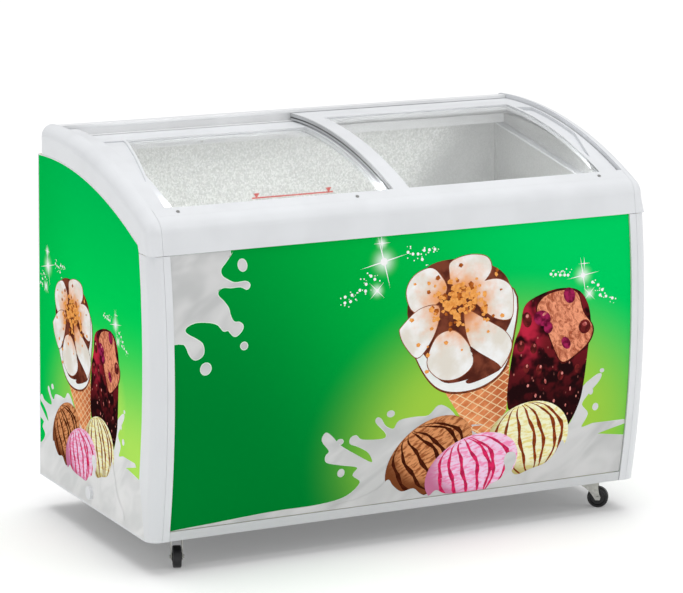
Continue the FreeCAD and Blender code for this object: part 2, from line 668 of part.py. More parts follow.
def make_upper_door():
    low, high = "upper_base_r", "upper_top_r"
    front, rear = "(upper_front_y + door_play)", "(upper_rear_y - door_play)"
    glass_top = "(upper_top_r - glass_drop)"
    left_end, left_in = "upper_inner_x", "(upper_inner_x + centre_frame)"
    pane = band("upper_pane", glass_top + " - glass", glass_top, "(strip_front_y - glass_grip)",
                "(strip_rear_y + glass_grip)", left_in + " - glass_grip",
                "upper_frame_x - %s + 2 * glass_grip" % left_in)
    node("upper_door_glass", pane)
    left = band("upper_left", low, high, front, rear, left_end, "centre_frame")
    node("upper_door_left_frame", cut("upper_left_frame", left, pane))
    right = band("upper_right", low, high, front, rear, "upper_frame_x", "door_end_x - upper_frame_x")
    grip = plan_prism("upper_grip", [
        ("upper_frame_x + 11", "0 - 192"), ("door_end_x - 5", "0 - 70"), ("door_end_x - 5", "135"),
        ("upper_frame_x + 7", "150"), ("upper_frame_x + 7", "0 - 160")])
    above = band("upper_grip_band", high + " - grip_depth", high + " + 5", "0 - 200", "160",
                 "upper_frame_x", "door_end_x - upper_frame_x")
    hollow = common("upper_grip_hollow", grip, above)
    node("upper_door_right_frame", cut("upper_right_frame", right, pane, hollow))
    width = "upper_frame_x - %s" % left_in
    strip = band("upper_front", low, high, front, "strip_front_y", left_in, width)
    node("upper_door_front_strip", cut("upper_front_strip", strip, pane))
    strip = band("upper_rear", low, high, "strip_rear_y", rear, left_in, width)
    node("upper_door_rear_strip", cut("upper_rear_strip", strip, pane))
    node("upper_door_gasket", band("upper_gasket", low, high, front, rear,
                                   left_end + " - gasket", "gasket"))


def make_lower_door():
    low, high = "lower_base_r", "lower_top_r"
    front, rear = "(lower_front_y + door_play)", "(lower_rear_y - door_play)"
    glass_top = "(lower_top_r - glass_drop - 1)"
    right_in = "(lower_inner_x - centre_frame - 3)"
    inner = "(0 - lower_frame_x)"
    pane = band("lower_pane", glass_top + " - glass", glass_top, "(strip_front_y - glass_grip)",
                "(strip_rear_y + glass_grip)", inner + " - glass_grip",
                "%s - %s + 2 * glass_grip" % (right_in, inner))
    node("lower_door_glass", pane)
    base = band("lower_left", low, high, front, rear, "0 - door_end_x",
                "door_end_x - lower_frame_x")
    raised = band("lower_raised", high + " - 2", "upper_top_r", front + " + 1", rear + " - 1",
                  "0 - door_end_x", "door_end_x - raised_frame_x")
    wing = plan_prism("lower_wing_plan", [
        ("0 - raised_frame_x", "0 - 205"), ("0 - 465", "167"), ("0 - 465", "strip_rear_y - 5"),
        ("0 - raised_frame_x", "strip_rear_y - 5")])
    wing_band = band("lower_wing_band", glass_top, high, "0 - 230", "strip_rear_y",
                     "0 - raised_frame_x - 1", "120")
    wing_plate = common("lower_wing", wing, wing_band)
    frame = join("lower_left_solid", base, raised, wing_plate)
    tray = plan_prism("lower_tray_plan", [
        ("0 - raised_frame_x", "0 - 180"), ("0 - 472", "165"), ("0 - 472", "strip_rear_y - 8"),
        ("0 - raised_frame_x", "strip_rear_y - 8")])
    tray_band = band("lower_tray_band", high + " - tray_depth", high + " + 5", "0 - 230",
                     "strip_rear_y", "0 - raised_frame_x", "120")
    hollow = common("lower_tray", tray, tray_band)
    node("lower_door_left_frame", cut("lower_left_frame", frame, pane, hollow))
    right = band("lower_right", low, high, front, rear, right_in, "lower_inner_x - %s" % right_in)
    node("lower_door_right_frame", cut("lower_right_frame", right, pane))
    width = "%s - %s" % (right_in, inner)
    strip = band("lower_front", low, high, front, "strip_front_y", inner, width)
    node("lower_door_front_strip", cut("lower_front_strip", strip, pane))
    strip = band("lower_rear", low, high, "strip_rear_y - 5", rear, inner, width)
    node("lower_door_rear_strip", cut("lower_rear_strip", strip, pane))
    node("lower_door_brush_seal", band("brush", high, high + " + brush_height", front, rear,
                                       "lower_inner_x - brush_width - 2", "brush_width"))


# ---- machine compartment -----------------------------------------------------------------------

def make_machine():
    foot = "(base_z + pan_sheet)"
    r, top = "compressor_r", "compressor_height"
    shell = turned("compressor_shell", [
        ("%s * 0.8" % r, "0"), (r, "14"), (r, "%s * 0.62" % top),
        ("%s * 0.55" % r, "%s * 0.95" % top, "%s * 0.7" % r, 1), ("0", top), ("0", "0")])
    terminal = box("terminal_box", "0 - 28", "0 - compressor_r - 22", "60", "56", "40", "62")
    feet = box("compressor_feet", "0 - 88", "0 - 50", "0 - 4", "176", "100", "4")
    body = join("compressor_body", shell, terminal, feet)
    bind(body, x="compressor_x", y="compressor_y", z=foot + " + 18")
    node("compressor", body)
    mounts = []
    for side_x in ("-", "+"):
        for side_y in ("-", "+"):
            mounts.append(cylinder("grommet", "Z", "10", "14", "compressor_x %s grommet_x" % side_x,
                                   "compressor_y %s grommet_y" % side_y, foot))
    node("compressor_mounts", group("grommets", *mounts))

    fins = []
    step = value("fin_pitch")
    low, high = value("condenser_low_z"), value("condenser_high_z")
    half = value("condenser_half")
    x, thick = value("condenser_x"), value("condenser_thick")
    fin_count = int(2 * half / step)
    for index in range(fin_count + 1):
        y = -half + index * step
        fins.append(Part.makeBox(thick, 0.8, high - low, FreeCAD.Vector(x, y, low)))
    rows = 7
    for row in range(rows):
        z = low + (row + 0.5) * (high - low) / rows
        for lane in (0.3, 0.7):
            fins.append(Part.makeCylinder(4, 2 * half + 16, FreeCAD.Vector(x + lane * thick, -half - 8, z),
                                          FreeCAD.Vector(0, 1, 0)))
    coil = fins[0].multiFuse(fins[1:])
    node("condenser_coil", feature("condenser", coil))

    shroud = box("shroud_block", "condenser_x - 34", "0 - condenser_half", "condenser_low_z", "33",
                 "2 * condenser_half", "condenser_high_z - condenser_low_z")
    throat = cylinder("shroud_throat", "X", "fan_r + 5", "60", "condenser_x - 45", "0", "fan_z")
    node("fan_shroud", cut("shroud", shroud, throat))
    motor = cylinder("motor_can", "X", "motor_r", "44", "condenser_x - 82", "0", "fan_z")
    shaft = cylinder("motor_shaft", "X", "3", "8", "condenser_x - 39", "0", "fan_z")
    arm = box("motor_arm", "condenser_x - 60", "0 - condenser_half + 2", "fan_z - 6", "4",
              "2 * condenser_half - 4", "12")
    strut_left = box("motor_strut_left", "condenser_x - 60", "0 - condenser_half + 2", "fan_z - 6",
                     "26", "4", "12")
    strut_right = box("motor_strut_right", "condenser_x - 60", "condenser_half - 6", "fan_z - 6",
                      "26", "4", "12")
    node("fan_motor", join("motor", motor, shaft, arm, strut_left, strut_right))
    hub_x = value("condenser_x") - 30.5
    hub = Part.makeCylinder(value("fan_hub_r"), 20, FreeCAD.Vector(hub_x, 0, value("fan_z")),
                            FreeCAD.Vector(1, 0, 0))
    blades = [hub]
    for index in range(5):
        blade = Part.makeBox(2, 44, value("fan_r") - 12, FreeCAD.Vector(-1, -22, 12))
        blade.rotate(FreeCAD.Vector(0, 0, 0), FreeCAD.Vector(0, 0, 1), 24)
        blade = blade.common(Part.makeBox(16, 80, 200, FreeCAD.Vector(-8, -40, 0)))
        blade.rotate(FreeCAD.Vector(0, 0, 0), FreeCAD.Vector(1, 0, 0), index * 72)
        blade.translate(FreeCAD.Vector(hub_x + 10, 0, value("fan_z")))
        blades.append(blade)
    node("fan_blades", feature("fan", blades[0].multiFuse(blades[1:])))

    drier = turned("drier_can", [("9", "8"), ("9", "92"), ("3", "104"), ("0", "104"),
                                 ("0", "0 - 4"), ("3", "0 - 4")])
    bind(drier, x="400", y="40", z="110")
    node("filter_drier", drier)
    cx, cy = value("compressor_x"), value("compressor_y")
    lines = [tube_shape([(cx - 40, cy, 240), (360, cy, 240), (360, 120, 240), (360, 120, 332)], 4, 14),
             tube_shape([(cx + 58, cy, 215), (520, cy, 215), (520, 140, 215), (576, 140, 215),
                         (576, 130, 215)], 3, 4.5),
             tube_shape([(400, 40, 215), (400, 40, 250), (345, 40, 250), (345, 40, 332)], 2.5, 10),
             tube_shape([(400, 40, 105), (400, 40, 90), (400, -150, 90), (568, -150, 90),
                         (568, -150, 111), (568, -129, 111)], 2.5, 7)]
    doc.recompute()
    lines[0] = lines[0].cut(body.Shape)
    lines[1] = lines[1].cut(body.Shape)
    node("refrigerant_lines", feature("lines", Part.makeCompound(lines)))


def make_grilles_and_controls():
    plate = box("side_grille_plate", "half_length", "0 - grille_half", "grille_low_z",
                "grille_proud", "2 * grille_half", "grille_high_z - grille_low_z")
    hollow = box("side_grille_hollow", "half_length - 1", "12 - grille_half", "grille_low_z + 12",
                 "grille_proud - 2", "2 * grille_half - 24", "grille_high_z - grille_low_z - 24")
    slots = [hollow]
    for index in range(10):
        slots.append(box("side_slot", "half_length - 2", "16 - grille_half",
                         "grille_low_z + 18 + %d * 17" % index, "20", "2 * grille_half - 32", "8"))
    node("side_grille", cut("side_louvre", plate, *slots))

    low, high = "(grille_low_z + 0.5)", "(grille_high_z - 0.5)"
    plate = section("rear_grille_plate", [
        (on_rear(low), low), (on_rear(low, "rear_grille_plate"), low),
        (on_rear(high, "rear_grille_plate"), high), (on_rear(high), high)],
        "rear_grille_x + 0.5", "rear_grille_width - 1")
    slots = []
    for index in range(9):
        slots.append(box("rear_slot", "rear_grille_x + 75", "300",
                         "grille_low_z + 20 + %d * 19" % index, "rear_grille_width - 90", "80", "9"))
    slots.append(box("inlet_window", "knob_x - 15", "300", "grille_low_z + 22", "30", "80", "22"))
    slots.append(cylinder("knob_hole", "Y", "knob_r + 2", "80", "knob_x", "300", "knob_z"))
    node("rear_grille", cut("rear_louvre", plate, *slots))

    inlet_z = "(grille_low_z + 22.3)"
    shell = box("inlet_shell", "knob_x - 14.7", on_rear("grille_low_z + 46", "24"), inlet_z, "29.4",
                "24", "21.4")
    recess = box("inlet_recess", "knob_x - 12", on_rear("grille_low_z + 46", "18"),
                 inlet_z + " + 2.7", "24", "30", "16")
    pins = []
    for dx, dz in ((-7, 4), (7, 4), (0, 9)):
        pins.append(box("inlet_pin", "knob_x - 1 + (%d)" % dx, on_rear("grille_low_z + 46", "18.5"),
                        inlet_z + " + 2.7 + %d" % dz, "2", "13", "4"))
    node("power_inlet", join("inlet", cut("inlet_body", shell, recess), *pins))

    face = on_rear("knob_z", "rear_grille_plate + 1.2")
    housing = box("thermostat_box", "knob_x - 26", face + " - 34", "knob_z - 24", "52", "34", "48")
    pocket = cylinder("thermostat_pocket", "Y", "knob_r + 2", "30", "knob_x", face + " - 8",
                      "knob_z")
    socket = cylinder("thermostat_socket", "Y", "4.6", "30", "knob_x", face + " - 20", "knob_z")
    node("thermostat", cut("thermostat_body", housing, pocket, socket))
    grip = cylinder("knob_grip", "Y", "knob_r", "knob_height", "knob_x", face + " - 6", "knob_z")
    stem = cylinder("knob_stem", "Y", "4", "14", "knob_x", face + " - 18", "knob_z")
    notch = box("knob_notch", "knob_x - 1", face + " - 6 + knob_height - 1.5", "knob_z + 3", "2", "5",
                "20")
    node("thermostat_knob", cut("knob", join("knob_solid", grip, stem), notch))

    pipe = cylinder("drain_pipe", "X", "drain_r", "half_length + drain_riser_x + 2",
                    "0 - half_length - 2", "drain_y", "drain_z")
    riser = cylinder("drain_riser", "Z", "drain_r", "liner_floor_z - liner_wall - drain_z",
                     "drain_riser_x", "drain_y", "drain_z")
    solid = join("drain_solid", pipe, common("drain_corner", riser, box(
        "drain_corner_box", "drain_riser_x - 30", "drain_y - 30", "drain_z", "60", "60", "100")))
    bore = cylinder("drain_bore", "X", "drain_bore_r", "half_length + drain_riser_x + 8",
                    "0 - half_length - 5", "drain_y", "drain_z")
    rising = cylinder("drain_rising_bore", "Z", "drain_bore_r", "80", "drain_riser_x", "drain_y",
                      "drain_z")
    node("drain_outlet", cut("drain", solid, bore, rising))
    cap = cylinder("cap_disc", "X", "drain_cap_r", "grille_proud - 0.4",
                   "0 - half_length - grille_proud", "drain_y", "drain_z")
    seat = cylinder("cap_seat", "X", "drain_r + 0.5", "grille_proud", "0 - half_length - 3",
                    "drain_y", "drain_z")
    node("drain_cap", cut("cap", cap, seat))


# ---- casters -----------------------------------------------------------------------------------

# The pivot of each caster, and the way that it trails, in degrees from +X.
CASTERS = {
    "front_left": ("(0 - left_caster_x)", "(0 - caster_y)", -110),
    "front_right": ("caster_x", "(0 - caster_y)", -35),
    "rear_left": ("(0 - rear_caster_x)", "caster_y", 120),
    "rear_right": ("rear_caster_x", "caster_y", 60),
}


def make_casters():
    """A plate, four bolts, a fork and a wheel at each corner."""
    plates, bolts = [], []
    for name, (x, y, heading) in CASTERS.items():
        plate = box(name + "_plate", x + " - plate_long / 2", y + " - plate_wide / 2",
                    "base_z - plate_thick", "plate_long", "plate_wide", "plate_thick")
        plates.append(plate)
        for bolt_x in (-1, 1):
            for bolt_y in (-1, 1):
                bolts.append(cylinder(
                    "bolt", "Z", "bolt_r + 2", "3.5", x + " + (%d) * (plate_long / 2 - 8)" % bolt_x,
                    y + " + (%d) * (plate_wide / 2 - 8)" % bolt_y, "base_z - plate_thick - 3.5"))
        make_fork(name, x, y, heading)
        make_wheel(name, x, y, heading)
    node("caster_plates", group("plates", *plates))
    node("caster_bolts", group("bolts", *bolts))


def make_fork(name, x, y, heading):
    """Pressed fork: swivel race, top plate, two tapering legs and the axle bolt through them."""
    race = cylinder("race", "Z", "race_r", "base_z - plate_thick - 0.4 - fork_top_z", "0", "0",
                    "fork_top_z")
    width = "fork_inside * 2 + fork_leg * 2"
    top = box("fork_top", "0 - fork_back", "0 - fork_inside - fork_leg", "fork_top_z - 3",
              "fork_front + fork_back", width, "3")
    legs = []
    corners = [("fork_front", "fork_top_z - 1"), ("fork_front", "fork_top_z - 5"),
               ("trail + 7", "wheel_r + 1", "leg_curve_r", 1), ("trail + 5", "wheel_r - 6"),
               ("trail - 5", "wheel_r - 6"), ("trail - 9", "wheel_r"),
               ("0 - fork_back", "fork_top_z - 9", "leg_curve_r", 1),
               ("0 - fork_back", "fork_top_z - 1")]
    for offset in ("fork_inside", "0 - fork_inside - fork_leg"):
        legs.append(padded("fork_leg", "XZ_Plane", corners, offset, "fork_leg"))
    axle = cylinder("axle", "Y", "axle_r", "2 * fork_inside + 2 * fork_leg + 6", "trail",
                    "0 - fork_inside - fork_leg - 3", "wheel_r")
    pivot = cylinder("king_pin", "Z", "5", "6", "0", "0", "fork_top_z - 8")
    fork = join(name + "_fork_solid", race, top, pivot, axle, *legs)
    fork.Placement.Rotation = FreeCAD.Rotation(FreeCAD.Vector(0, 0, 1), heading)
    node(name + "_caster_fork", bind(fork, x=x, y=y))


def make_wheel(name, x, y, heading):
    """Moulded wheel with a crowned tread and a hub, turning on the axle."""
    half = "wheel_width / 2"
    wheel = turned(name + "_wheel_turned", [
        ("axle_r + 0.4", "0.4 - fork_inside"), ("axle_r + 5", "0.4 - fork_inside"),
        ("axle_r + 5", "3 - " + half), ("wheel_r - 7", "3 - " + half),
        ("wheel_r - 6", "0 - " + half), ("wheel_r - 3", "0 - " + half),
        ("wheel_r", "3 - " + half, "3", 1), ("wheel_r", half + " - 3"),
        ("wheel_r - 3", half, "3", 1), ("wheel_r - 6", half), ("wheel_r - 7", half + " - 3"),
        ("axle_r + 5", half + " - 3"), ("axle_r + 5", "fork_inside - 0.4"),
        ("axle_r + 0.4", "fork_inside - 0.4")])
    lying = FreeCAD.Rotation(FreeCAD.Vector(1, 0, 0), 90)
    swivel = FreeCAD.Rotation(FreeCAD.Vector(0, 0, 1), heading)
    wheel.Placement.Rotation = swivel * lying
    along, across = math.cos(math.radians(heading)), math.sin(math.radians(heading))
    bind(wheel, x="%s + trail * (%.6f)" % (x, along), y="%s + trail * (%.6f)" % (y, across),
         z="wheel_r")
    node(name + "_caster_wheel", wheel)


# ---- build, check and write --------------------------------------------------------------------

make_skin()
make_insulation()
make_liner()
make_top_frame()
make_upper_door()
make_lower_door()
make_machine()
make_grilles_and_controls()
make_casters()
doc.recompute()

faults = [thing.Name for thing in doc.Objects if {"Invalid", "Error"} & set(thing.State)]
for name, thing in NODES.items():
    if thing.Shape.isNull() or not thing.Shape.isValid() or not thing.Shape.Solids:
        faults.append(name)
if faults:
    raise RuntimeError("failed objects: " + ", ".join(faults))
os.makedirs("parts", exist_ok=True)
for name, thing in NODES.items():
    thing.Shape.exportStep("parts/%s.step" % name)
    print("%-26s %9.1f cm3" % (name, thing.Shape.Volume / 1000))
print(len(NODES), "nodes")
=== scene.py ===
import json
import math
import random

import bmesh
import bpy
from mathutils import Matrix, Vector
from mathutils.bvhtree import BVHTree
from mathutils.geometry import tessellate_polygon


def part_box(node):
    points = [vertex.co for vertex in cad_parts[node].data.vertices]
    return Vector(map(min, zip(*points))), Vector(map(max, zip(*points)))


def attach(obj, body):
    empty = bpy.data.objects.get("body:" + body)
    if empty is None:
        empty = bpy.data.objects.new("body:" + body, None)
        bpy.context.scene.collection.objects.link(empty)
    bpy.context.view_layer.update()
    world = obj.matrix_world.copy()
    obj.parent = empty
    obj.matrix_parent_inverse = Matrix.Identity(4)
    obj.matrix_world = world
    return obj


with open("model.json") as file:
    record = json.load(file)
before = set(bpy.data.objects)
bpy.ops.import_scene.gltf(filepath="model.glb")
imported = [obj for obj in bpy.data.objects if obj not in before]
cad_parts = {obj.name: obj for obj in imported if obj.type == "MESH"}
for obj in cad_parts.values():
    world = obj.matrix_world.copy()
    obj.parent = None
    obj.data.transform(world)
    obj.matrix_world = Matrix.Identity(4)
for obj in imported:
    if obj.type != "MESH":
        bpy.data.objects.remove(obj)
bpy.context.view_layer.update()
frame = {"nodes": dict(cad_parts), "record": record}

MM = 0.001
ARC_Y, ARC_Z = 247, -342      # middle of the arc of the cabinet's top, in millimetres
PANEL_LOW, PANEL_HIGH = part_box("front_panel")
SIDE_LOW, SIDE_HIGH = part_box("left_side_panel")
CAD_SIDE = -SIDE_LOW.x


# ---- colour and node helpers ---------------------------------------------------------------------

def srgb(red, green, blue):
    """A display colour, 0 to 255, as linear RGBA."""
    def linear(channel):
        c = channel / 255
        return c / 12.92 if c <= 0.04045 else ((c + 0.055) / 1.055) ** 2.4
    return (linear(red), linear(green), linear(blue), 1.0)


def shaded(tone, share):
    """A colour with its light cut to a share."""
    return tuple(share * channel for channel in tone[:3]) + (1.0,)


class Graph:
    """A material under construction; positions are in metres in the object's frame."""

    def __init__(self, name, roughness=0.5, **sockets):
        self.mat = bpy.data.materials.new(name)
        self.mat.use_nodes = True
        self.tree = self.mat.node_tree
        self.shader = self.tree.nodes["Principled BSDF"]
        self.shader.inputs["Roughness"].default_value = roughness
        for socket, setting in sockets.items():
            self.shader.inputs[socket.replace("_", " ")].default_value = setting
        coords = self.node("ShaderNodeTexCoord")
        self.position = coords.outputs["Object"]

    def node(self, kind, **settings):
        made = self.tree.nodes.new(kind)
        for name, setting in settings.items():
            setattr(made, name, setting)
        return made

    def feed(self, socket, source):
        if hasattr(source, "is_output"):
            self.tree.links.new(source, socket)
        else:
            socket.default_value = source

    def math(self, operation, a, b=0.0):
        made = self.node("ShaderNodeMath", operation=operation)
        self.feed(made.inputs[0], a)
        self.feed(made.inputs[1], b)
        return made.outputs[0]

    def axis(self, name):
        """One coordinate, in metres."""
        made = self.node("ShaderNodeSeparateXYZ")
        self.feed(made.inputs[0], self.position)
        return made.outputs[name]

    def stretch(self, scale, turn=(0, 0, 0), centre=(0, 0, 0)):
        """Positions scaled per axis about a centre."""
        made = self.node("ShaderNodeMapping", vector_type="TEXTURE")
        self.feed(made.inputs["Vector"], self.position)
        made.inputs["Location"].default_value = centre
        made.inputs["Rotation"].default_value = turn
        made.inputs["Scale"].default_value = scale
        return made.outputs[0]

    def ramp(self, source, low, high):
        """0 below low and 1 above high, eased between; low may be the larger."""
        made = self.node("ShaderNodeMapRange", interpolation_type="SMOOTHSTEP")
        self.feed(made.inputs["Value"], source)
        made.inputs["From Min"].default_value = low
        made.inputs["From Max"].default_value = high
        return made.outputs["Result"]

    def mix(self, share, a, b):
        """Colour a at share 0 and colour b at share 1."""
        made = self.node("ShaderNodeMix", data_type="RGBA")
        self.feed(made.inputs["Factor"], share)
        self.feed(made.inputs["A"], a)
        self.feed(made.inputs["B"], b)
        return made.outputs["Result"]

    def near(self, centre, reach):
        """1 at a centre, falling to 0 on the ellipsoid with these radii."""
        made = self.node("ShaderNodeVectorMath", operation="LENGTH")
        self.feed(made.inputs[0], self.stretch(reach, centre=centre))
        return self.ramp(made.outputs["Value"], 1.0, 0.0)

    def noise(self, scale, detail=3.0, roughness=0.5, vector=None, distortion=0.0):
        """Cloudy noise with this many waves per metre."""
        made = self.node("ShaderNodeTexNoise")
        self.feed(made.inputs["Vector"], vector or self.position)
        made.inputs["Scale"].default_value = scale
        made.inputs["Detail"].default_value = detail
        made.inputs["Roughness"].default_value = roughness
        made.inputs["Distortion"].default_value = distortion
        return made.outputs["Fac"]

    def cells(self, scale, feature="F1", vector=None, output="Distance"):
        """Pebbles or facets, this many per metre."""
        made = self.node("ShaderNodeTexVoronoi", feature=feature)
        self.feed(made.inputs["Vector"], vector or self.position)
        made.inputs["Scale"].default_value = scale
        return made.outputs[output]

    def colour(self, source):
        self.feed(self.shader.inputs["Base Color"], source)
        return self

    def rough(self, source, low, high):
        self.feed(self.shader.inputs["Roughness"], self.ramp_to(source, low, high))
        return self

    def ramp_to(self, source, low, high):
        """A share of 0 to 1 spread over low to high."""
        made = self.node("ShaderNodeMapRange")
        self.feed(made.inputs["Value"], source)
        made.inputs["To Min"].default_value = low
        made.inputs["To Max"].default_value = high
        return made.outputs["Result"]

    def bump(self, height, strength, distance):
        made = self.node("ShaderNodeBump")
        self.feed(made.inputs["Height"], height)
        made.inputs["Strength"].default_value = strength
        made.inputs["Distance"].default_value = distance
        self.feed(self.shader.inputs["Normal"], made.outputs["Normal"])
        return self


# ---- materials -----------------------------------------------------------------------------------

def moulded_plastic(name, tone, roughness=0.34):
    """Satin plastic with a fine grain and a faint unevenness of tone."""
    g = Graph(name, roughness)
    cloud = g.noise(9.0, 2.0)
    dark = shaded(tone, 0.955)
    g.colour(g.mix(g.ramp(cloud, 0.35, 0.65), dark, tone))
    grain = g.noise(900.0, 2.0)
    g.rough(grain, roughness - 0.05, roughness + 0.07)
    return g.bump(grain, 0.08, 0.0004).mat


def painted_sheet(name, tone, roughness=0.3):
    """Painted steel with a slight orange peel."""
    g = Graph(name, roughness)
    cloud = g.noise(4.0, 2.0)
    dark = shaded(tone, 0.96)
    g.colour(g.mix(g.ramp(cloud, 0.3, 0.7), dark, tone))
    peel = g.noise(260.0, 2.0)
    g.rough(peel, roughness - 0.03, roughness + 0.05)
    return g.bump(peel, 0.06, 0.0005).mat


def plated_steel(name, tone, roughness):
    """Plated steel with a spangle of crystals."""
    g = Graph(name, roughness, Metallic=0.9)
    spangle = g.cells(140.0, output="Color")
    grey = g.node("ShaderNodeRGBToBW")
    g.feed(grey.inputs[0], spangle)
    dark = shaded(tone, 0.72)
    g.colour(g.mix(grey.outputs[0], dark, tone))
    g.rough(g.noise(60.0), roughness - 0.08, roughness + 0.14)
    return g.bump(g.noise(400.0), 0.1, 0.0003).mat


def embossed_aluminium(name):
    """Stucco-embossed sheet. The glitter of its small facets is painted as a lighter or darker tone
    per facet, and painted shade greys its right end.
    """
    g = Graph(name, 0.35, Metallic=0.12)
    pebbles = g.cells(165.0, feature="SMOOTH_F1")
    crease = g.noise(230.0, 3.0)
    height = g.math("ADD", g.math("MULTIPLY", pebbles, 1.6), crease)
    # painted glitter: each facet gets a random lighter or darker tone, standing in for facets
    # catching the light
    painted_glitter = g.node("ShaderNodeRGBToBW")
    g.feed(painted_glitter.inputs[0], g.cells(290.0, output="Color"))
    tone = g.mix(g.ramp(painted_glitter.outputs[0], 0.25, 0.85), srgb(218, 220, 217), srgb(248, 249, 247))
    # painted shade: beyond a diagonal edge towards the right end the sheet turns flat grey with
    # flatter facets, standing in for a shadow falling across it
    slant = g.math("SUBTRACT", g.axis("X"), g.math("MULTIPLY", g.axis("Z"), 0.83))
    painted_shade = g.math("MULTIPLY", g.ramp(slant, -0.33, -0.20), 0.8)
    g.colour(g.mix(painted_shade, tone, srgb(178, 179, 179)))
    g.rough(crease, 0.25, 0.45)
    return g.bump(g.math("MULTIPLY", height, g.math("SUBTRACT", 1.0, painted_shade)), 0.8, 0.003).mat


def clear_glass(name):
    """Clear glass; its IOR and colour stay on the shader's own sockets."""
    g = Graph(name, 0.02, IOR=1.45, Base_Color=(0.99, 0.998, 0.994, 1.0))
    g.shader.inputs["Transmission Weight"].default_value = 1.0
    return g.mat


def rubber(name, tone, roughness=0.6):
    """Dark rubber or nylon with a coarse grain."""
    g = Graph(name, roughness)
    grain = g.noise(700.0, 3.0)
    dark = shaded(tone, 0.7)
    g.colour(g.mix(grain, dark, tone))
    g.rough(grain, roughness - 0.1, roughness + 0.1)
    return g.bump(grain, 0.2, 0.0004).mat


def brushes(name, tone):
    """Upright bristles."""
    g = Graph(name, 0.8)
    bristle = g.noise(300.0, 2.0, vector=g.stretch((1.0, 0.12, 1.0)))
    dark = shaded(tone, 0.6)
    g.colour(g.mix(bristle, dark, tone))
    return g.bump(bristle, 0.5, 0.001).mat


SEAL_RADIUS = 1.2475          # metres from the arc's middle to the seal's dark band


def gasket_strip(name):
    """Grey seal, darker along one band in its middle that follows the arc of the door."""
    g = Graph(name, 0.5)
    out = g.node("ShaderNodeVectorMath", operation="LENGTH")
    g.feed(out.inputs[0], g.stretch((1000.0, 1.0, 1.0), centre=(0.0, ARC_Y * MM, ARC_Z * MM)))
    # darker along a thin band at one radius
    band_offset = g.math("ABSOLUTE", g.math("SUBTRACT", out.outputs["Value"], SEAL_RADIUS))
    g.colour(g.mix(g.ramp(band_offset, 0.0012, 0.0022), srgb(52, 54, 56), srgb(186, 188, 190)))
    grain = g.noise(700.0, 3.0)
    g.rough(grain, 0.4, 0.6)
    return g.bump(grain, 0.15, 0.0004).mat


def copper(name):
    """Drawn copper, blotched by handling."""
    g = Graph(name, 0.3, Metallic=1.0)
    g.colour(g.mix(g.noise(30.0), srgb(170, 104, 70), srgb(214, 146, 106)))
    g.rough(g.noise(80.0), 0.2, 0.45)
    return g.mat


def foam(name):
    """Rigid insulating foam with open cells."""
    g = Graph(name, 0.9)
    g.colour(g.mix(g.noise(50.0), srgb(214, 196, 140), srgb(236, 222, 176)))
    return g.bump(g.cells(400.0), 0.4, 0.001).mat


PRINT_GLOSS = 0.0             # specular level of the matt print
HALOS = [(-63, 665, 46), (-66, 706, 22), (-83, 602, 26), (449, 590, 34), (465, 546, 22)]
DARK_GREEN = srgb(0, 127, 48)
MID_GREEN = srgb(0, 176, 66)
BRIGHT_GREEN = srgb(0, 205, 96)
LIME = srgb(160, 206, 70)
GLINT = srgb(236, 255, 240)


def glinting(g, base, spots):
    """Soft white halos; each spot is a centre and its radii."""
    for centre, reach in spots:
        halo = g.near(centre, reach)
        base = g.mix(g.math("MULTIPLY", g.math("MULTIPLY", halo, halo), 0.9), base, GLINT)
    return base


def green_print(name, across, rear_end, front_end, glow_centre, glow_reach, spots):
    """Printed film: dark to bright green along one axis, with a lime glow round the artwork."""
    g = Graph(name, 0.3)
    g.shader.inputs["Specular IOR Level"].default_value = PRINT_GLOSS
    along = g.ramp(g.axis(across), rear_end, front_end)
    height = g.ramp(g.axis("Z"), 0.05, 0.85)
    lift = g.math("ADD", g.math("MULTIPLY", along, 0.75), g.math("MULTIPLY", height, 0.3))
    base = g.mix(g.ramp(lift, 0.08, 0.6), DARK_GREEN, MID_GREEN)
    base = g.mix(g.ramp(lift, 0.5, 1.0), base, BRIGHT_GREEN)
    glow = g.near(glow_centre, glow_reach)
    base = g.mix(g.ramp(glow, 0.08, 0.7), base, LIME)
    g.colour(glinting(g, base, spots))
    peel = g.noise(220.0, 2.0)
    g.rough(peel, 0.26, 0.36)
    return g.bump(peel, 0.04, 0.0004).mat


WHITE = srgb(223, 225, 228)
materials = {
    "white_plastic": moulded_plastic("moulded white plastic", WHITE),
    "white_steel": painted_sheet("white painted steel", WHITE),
    "grey_steel": plated_steel("galvanised steel", srgb(150, 152, 153), 0.5),
    "embossed_aluminium": embossed_aluminium("stucco embossed aluminium"),
    "glass": clear_glass("clear glass"),
    "foam": foam("rigid foam"),
    "dark_rubber": rubber("rubber", srgb(60, 61, 63)),
    "black_plastic": rubber("black moulding", srgb(34, 34, 36), 0.45),
    "black_steel": painted_sheet("black enamel", srgb(28, 28, 30)),
    "copper": copper("drawn copper"),
    "zinc": plated_steel("zinc plate", srgb(204, 204, 198), 0.4),
    "screw_steel": plated_steel("screw steel", srgb(190, 190, 188), 0.3),
    "wheel_plastic": rubber("black nylon wheel", srgb(26, 26, 28), 0.4),
}
front_green = green_print("front print", "X", PANEL_LOW.x, PANEL_HIGH.x,
                          (0.24, -0.33, 0.22), (0.62, 1.0, 0.49),
                          [((u * MM, -0.33, w * MM), (r * MM, 1.0, r * MM)) for u, w, r in HALOS])
special = {                   # nodes whose look isn't their slot's
    "front_panel": front_green,
    "lower_door_brush_seal": brushes("brush pile", srgb(150, 152, 154)),
    "upper_door_gasket": gasket_strip("door gasket"),
    # painted light: the rear track is the same white plastic as the other parts, given a lighter
    # tone so that it and the shade in its channel show brighter
    "rear_track": moulded_plastic("rear track plastic painted lighter", srgb(240, 241, 242)),
    "front_base_rail": painted_sheet("base rail paint", srgb(206, 208, 210)),
}
